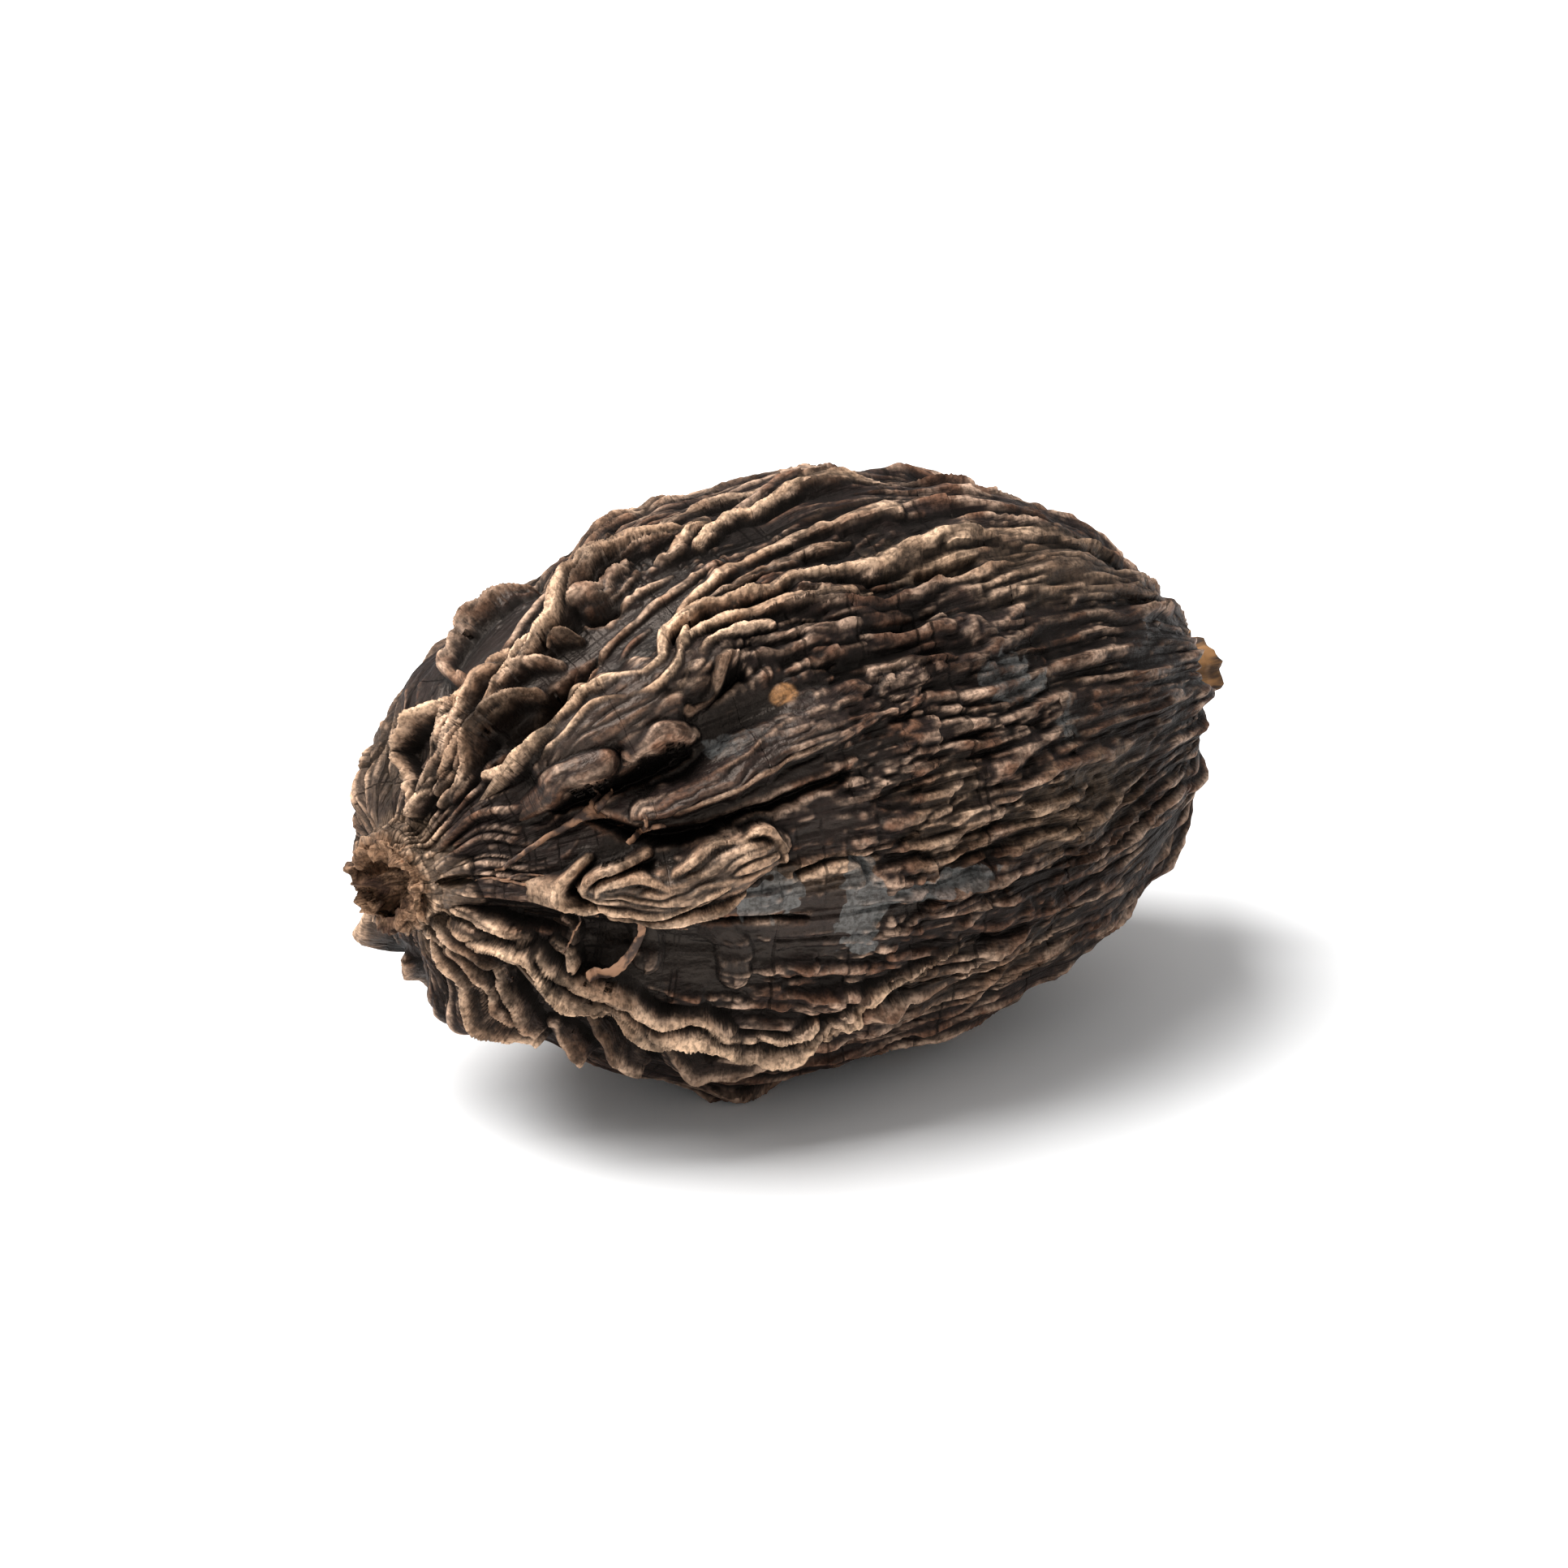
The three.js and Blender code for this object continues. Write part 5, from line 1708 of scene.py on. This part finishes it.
@dataclass
class StalkStub:
    """The broken end of the stalk: a short ribbed rod, torn across.

    Attributes:
        axis: the pod's axis.
        sides: vertices around it.
        rings: steps along it.
        end_rings: rings in its torn end.
        end_ring_width: width of each of these, as a share of its radius.
        rib_depth: how far its ribs swell and shrink it, as a share.
        waist: its thickness where it is thinnest, as a share.
        raggedness_mm: how far its torn end juts out.
        slant_mm: how far its torn end leans back at the top.
    """

    axis: Axis
    sides: int = 48
    rings: int = 18
    end_rings: int = 4
    end_ring_width: float = 0.19
    rib_depth: float = 0.22
    waist: float = 0.86
    raggedness_mm: float = 0.35
    slant_mm: float = 0.12

    def build(self, material: bpy.types.Material) -> bpy.types.Object:
        """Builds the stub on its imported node's place.

        Args:
            material: the stalk's finish.

        Returns:
            The finished piece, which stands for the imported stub.
        """
        low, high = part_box("stalk_stub")
        radius = (high[1] - low[1]) / 2
        stub = bmesh.new()
        circle = bmesh.ops.create_circle(stub, cap_ends=True, segments=self.sides, radius=radius)
        turn = Matrix.Rotation(math.pi / 2, 4, "Y")
        bmesh.ops.transform(stub, matrix=turn, verts=circle["verts"])
        bmesh.ops.translate(stub, verts=stub.verts, vec=(low[0], self.axis.y, self.axis.z))
        face = next(iter(stub.faces))
        step = (high[0] - low[0]) / self.rings
        for _ in range(self.rings):
            made = bmesh.ops.extrude_face_region(stub, geom=[face])["geom"]
            face = next(item for item in made if isinstance(item, bmesh.types.BMFace))
            bmesh.ops.translate(stub, verts=face.verts, vec=(step, 0, 0))
        for _ in range(self.end_rings):
            bmesh.ops.inset_region(stub, faces=[face], thickness=radius * self.end_ring_width)
        bmesh.ops.recalc_face_normals(stub, faces=stub.faces)
        self.tear(stub, low[0], high[0], radius)
        mesh = bpy.data.meshes.new("stalk_stub_fibres")
        stub.to_mesh(mesh)
        stub.free()
        mesh.polygons.foreach_set("use_smooth", np.ones(len(mesh.polygons), bool))
        piece = make_piece("stalk_stub_fibres", mesh, material)
        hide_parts("stalk_stub")
        return piece

    def tear(self, stub: bmesh.types.BMesh, root: float, tip: float, radius: float) -> None:
        """Ribs the sides and tears the end.

        Args:
            stub: the rod.
            root: where it starts, in metres.
            tip: where it ends.
            radius: its radius.
        """
        noise = Noise(5)
        for vertex in stub.verts:
            off_y = vertex.co.y - self.axis.y
            off_z = vertex.co.z - self.axis.z
            angle = math.atan2(off_z, off_y)
            out = math.hypot(off_y, off_z) / radius
            share = (vertex.co.x - root) / (tip - root)
            ribs = float(noise(share * 1.5, 3 * math.cos(angle), 3 * math.sin(angle)))
            girth = self.waist + (1 - self.waist) * abs(2 * share - 0.9)
            scale = girth * (1 + self.rib_depth * ribs * out)
            vertex.co.y = self.axis.y + off_y * scale
            vertex.co.z = self.axis.z + off_z * scale
            ragged = float(noise(off_y / MM / 0.35, off_z / MM / 0.35, 2.5))
            torn = self.raggedness_mm * ragged - self.slant_mm * off_z / radius
            vertex.co.x += share ** 3 * torn * MM


# ---------------------------------------------------------------------------------------------
# Studio
# ---------------------------------------------------------------------------------------------


@dataclass
class Studio:
    """Pale floor, one big soft box, a white room and the camera."""

    axis: Axis
    azimuth: float = -36.0  # degrees, 0 looks along +Y
    elevation: float = 22.0
    distance_mm: float = 139.0
    lens_mm: float = 100.0
    sensor_mm: float = 36.0
    aim_right_mm: float = -0.505  # the aim lies this far right of the pod's middle
    aim_up_mm: float = -0.347
    floor_size: float = 4.0
    box_right: float = -0.44  # the soft box hangs this far right of the pod, in metres
    box_away: float = -0.02  # and this far away from the camera
    box_up: float = 0.80
    box_size: float = 0.72
    box_power: float = 17.5
    room_light: float = 0.52

    def view_axes(self) -> tuple[Vector, Vector, Vector]:
        """The camera's right, up and back directions."""
        turn, tilt = math.radians(self.azimuth), math.radians(self.elevation)
        back = Vector((math.sin(turn) * math.cos(tilt), -math.cos(turn) * math.cos(tilt),
                       math.sin(tilt)))
        right = Vector((math.cos(turn), math.sin(turn), 0))
        return right, back.cross(right), back

    def build(self) -> None:
        """Builds the floor, the lights and the camera."""
        self.add_camera()
        self.add_floor()
        self.add_lights()
        scene = bpy.context.scene
        scene.view_settings.view_transform = "Standard"
        scene.view_settings.look = "None"

    def add_camera(self) -> None:
        """Sets the camera at the viewing angle."""
        right, up, back = self.view_axes()
        middle = Vector((self.axis.x, self.axis.y, self.axis.z))
        aim = middle + (right * self.aim_right_mm + up * self.aim_up_mm) * MM
        data = bpy.data.cameras.new("camera")
        data.lens = self.lens_mm
        data.sensor_width = self.sensor_mm
        data.clip_start = 0.01
        data.clip_end = 20.0
        camera = bpy.data.objects.new("camera", data)
        camera.matrix_world = Matrix.Translation(aim + back * self.distance_mm * MM) @ Matrix(
            (right, up, back)).transposed().to_4x4()
        bpy.context.scene.collection.objects.link(camera)
        bpy.context.scene.camera = camera

    def add_floor(self) -> None:
        """Lays the floor."""
        sheet = bmesh.new()
        bmesh.ops.create_grid(sheet, x_segments=1, y_segments=1, size=self.floor_size / 2)
        mesh = bpy.data.meshes.new("floor")
        sheet.to_mesh(mesh)
        sheet.free()
        mesh.materials.append(FloorFinish().build())
        floor = bpy.data.objects.new("floor", mesh)
        bpy.context.scene.collection.objects.link(floor)

    def add_lights(self) -> None:
        """Hangs the soft box and lights the room."""
        right, _, back = self.view_axes()
        away = Vector((-back.x, -back.y, 0)).normalized()
        middle = Vector((self.axis.x, self.axis.y, self.axis.z))
        place = self.box_right * right + self.box_away * away + Vector((0, 0, self.box_up))
        self.add_area("soft_box", middle + place, middle, self.box_size, self.box_power)
        world = bpy.data.worlds.new("room")
        world.use_nodes = True
        background = world.node_tree.nodes["Background"]
        background.inputs["Color"].default_value = (1, 1, 1, 1)
        background.inputs["Strength"].default_value = self.room_light
        bpy.context.scene.world = world

    def add_area(self, name: str, place: Vector, aim: Vector, size: float, power: float) -> None:
        """Hangs one square light.

        Args:
            name: its name.
            place: where it hangs.
            aim: the point it faces.
            size: its side, in metres.
            power: its power, in watts.
        """
        data = bpy.data.lights.new(name, "AREA")
        data.size = size
        data.energy = power
        light = bpy.data.objects.new(name, data)
        light.location = place
        light.rotation_euler = (aim - place).to_track_quat("-Z", "Y").to_euler()
        bpy.context.scene.collection.objects.link(light)


def main() -> None:
    """Builds the pod and its studio."""
    logging.basicConfig(level=logging.INFO, format="%(name)s: %(message)s")
    axis = Axis.from_frame()
    skin = Skin(Outline())
    skin.sculpt()
    surface = skin.surface()
    LOG.info("skin sculpted")
    Husk(axis, skin, surface).build(HuskFinish().build())
    LooseFibres(axis).build(skin, surface, FibreFinish().build())
    StalkStub(axis).build(StalkFinish().build())
    Studio(axis).build()


if __name__ == "__main__":
    main()
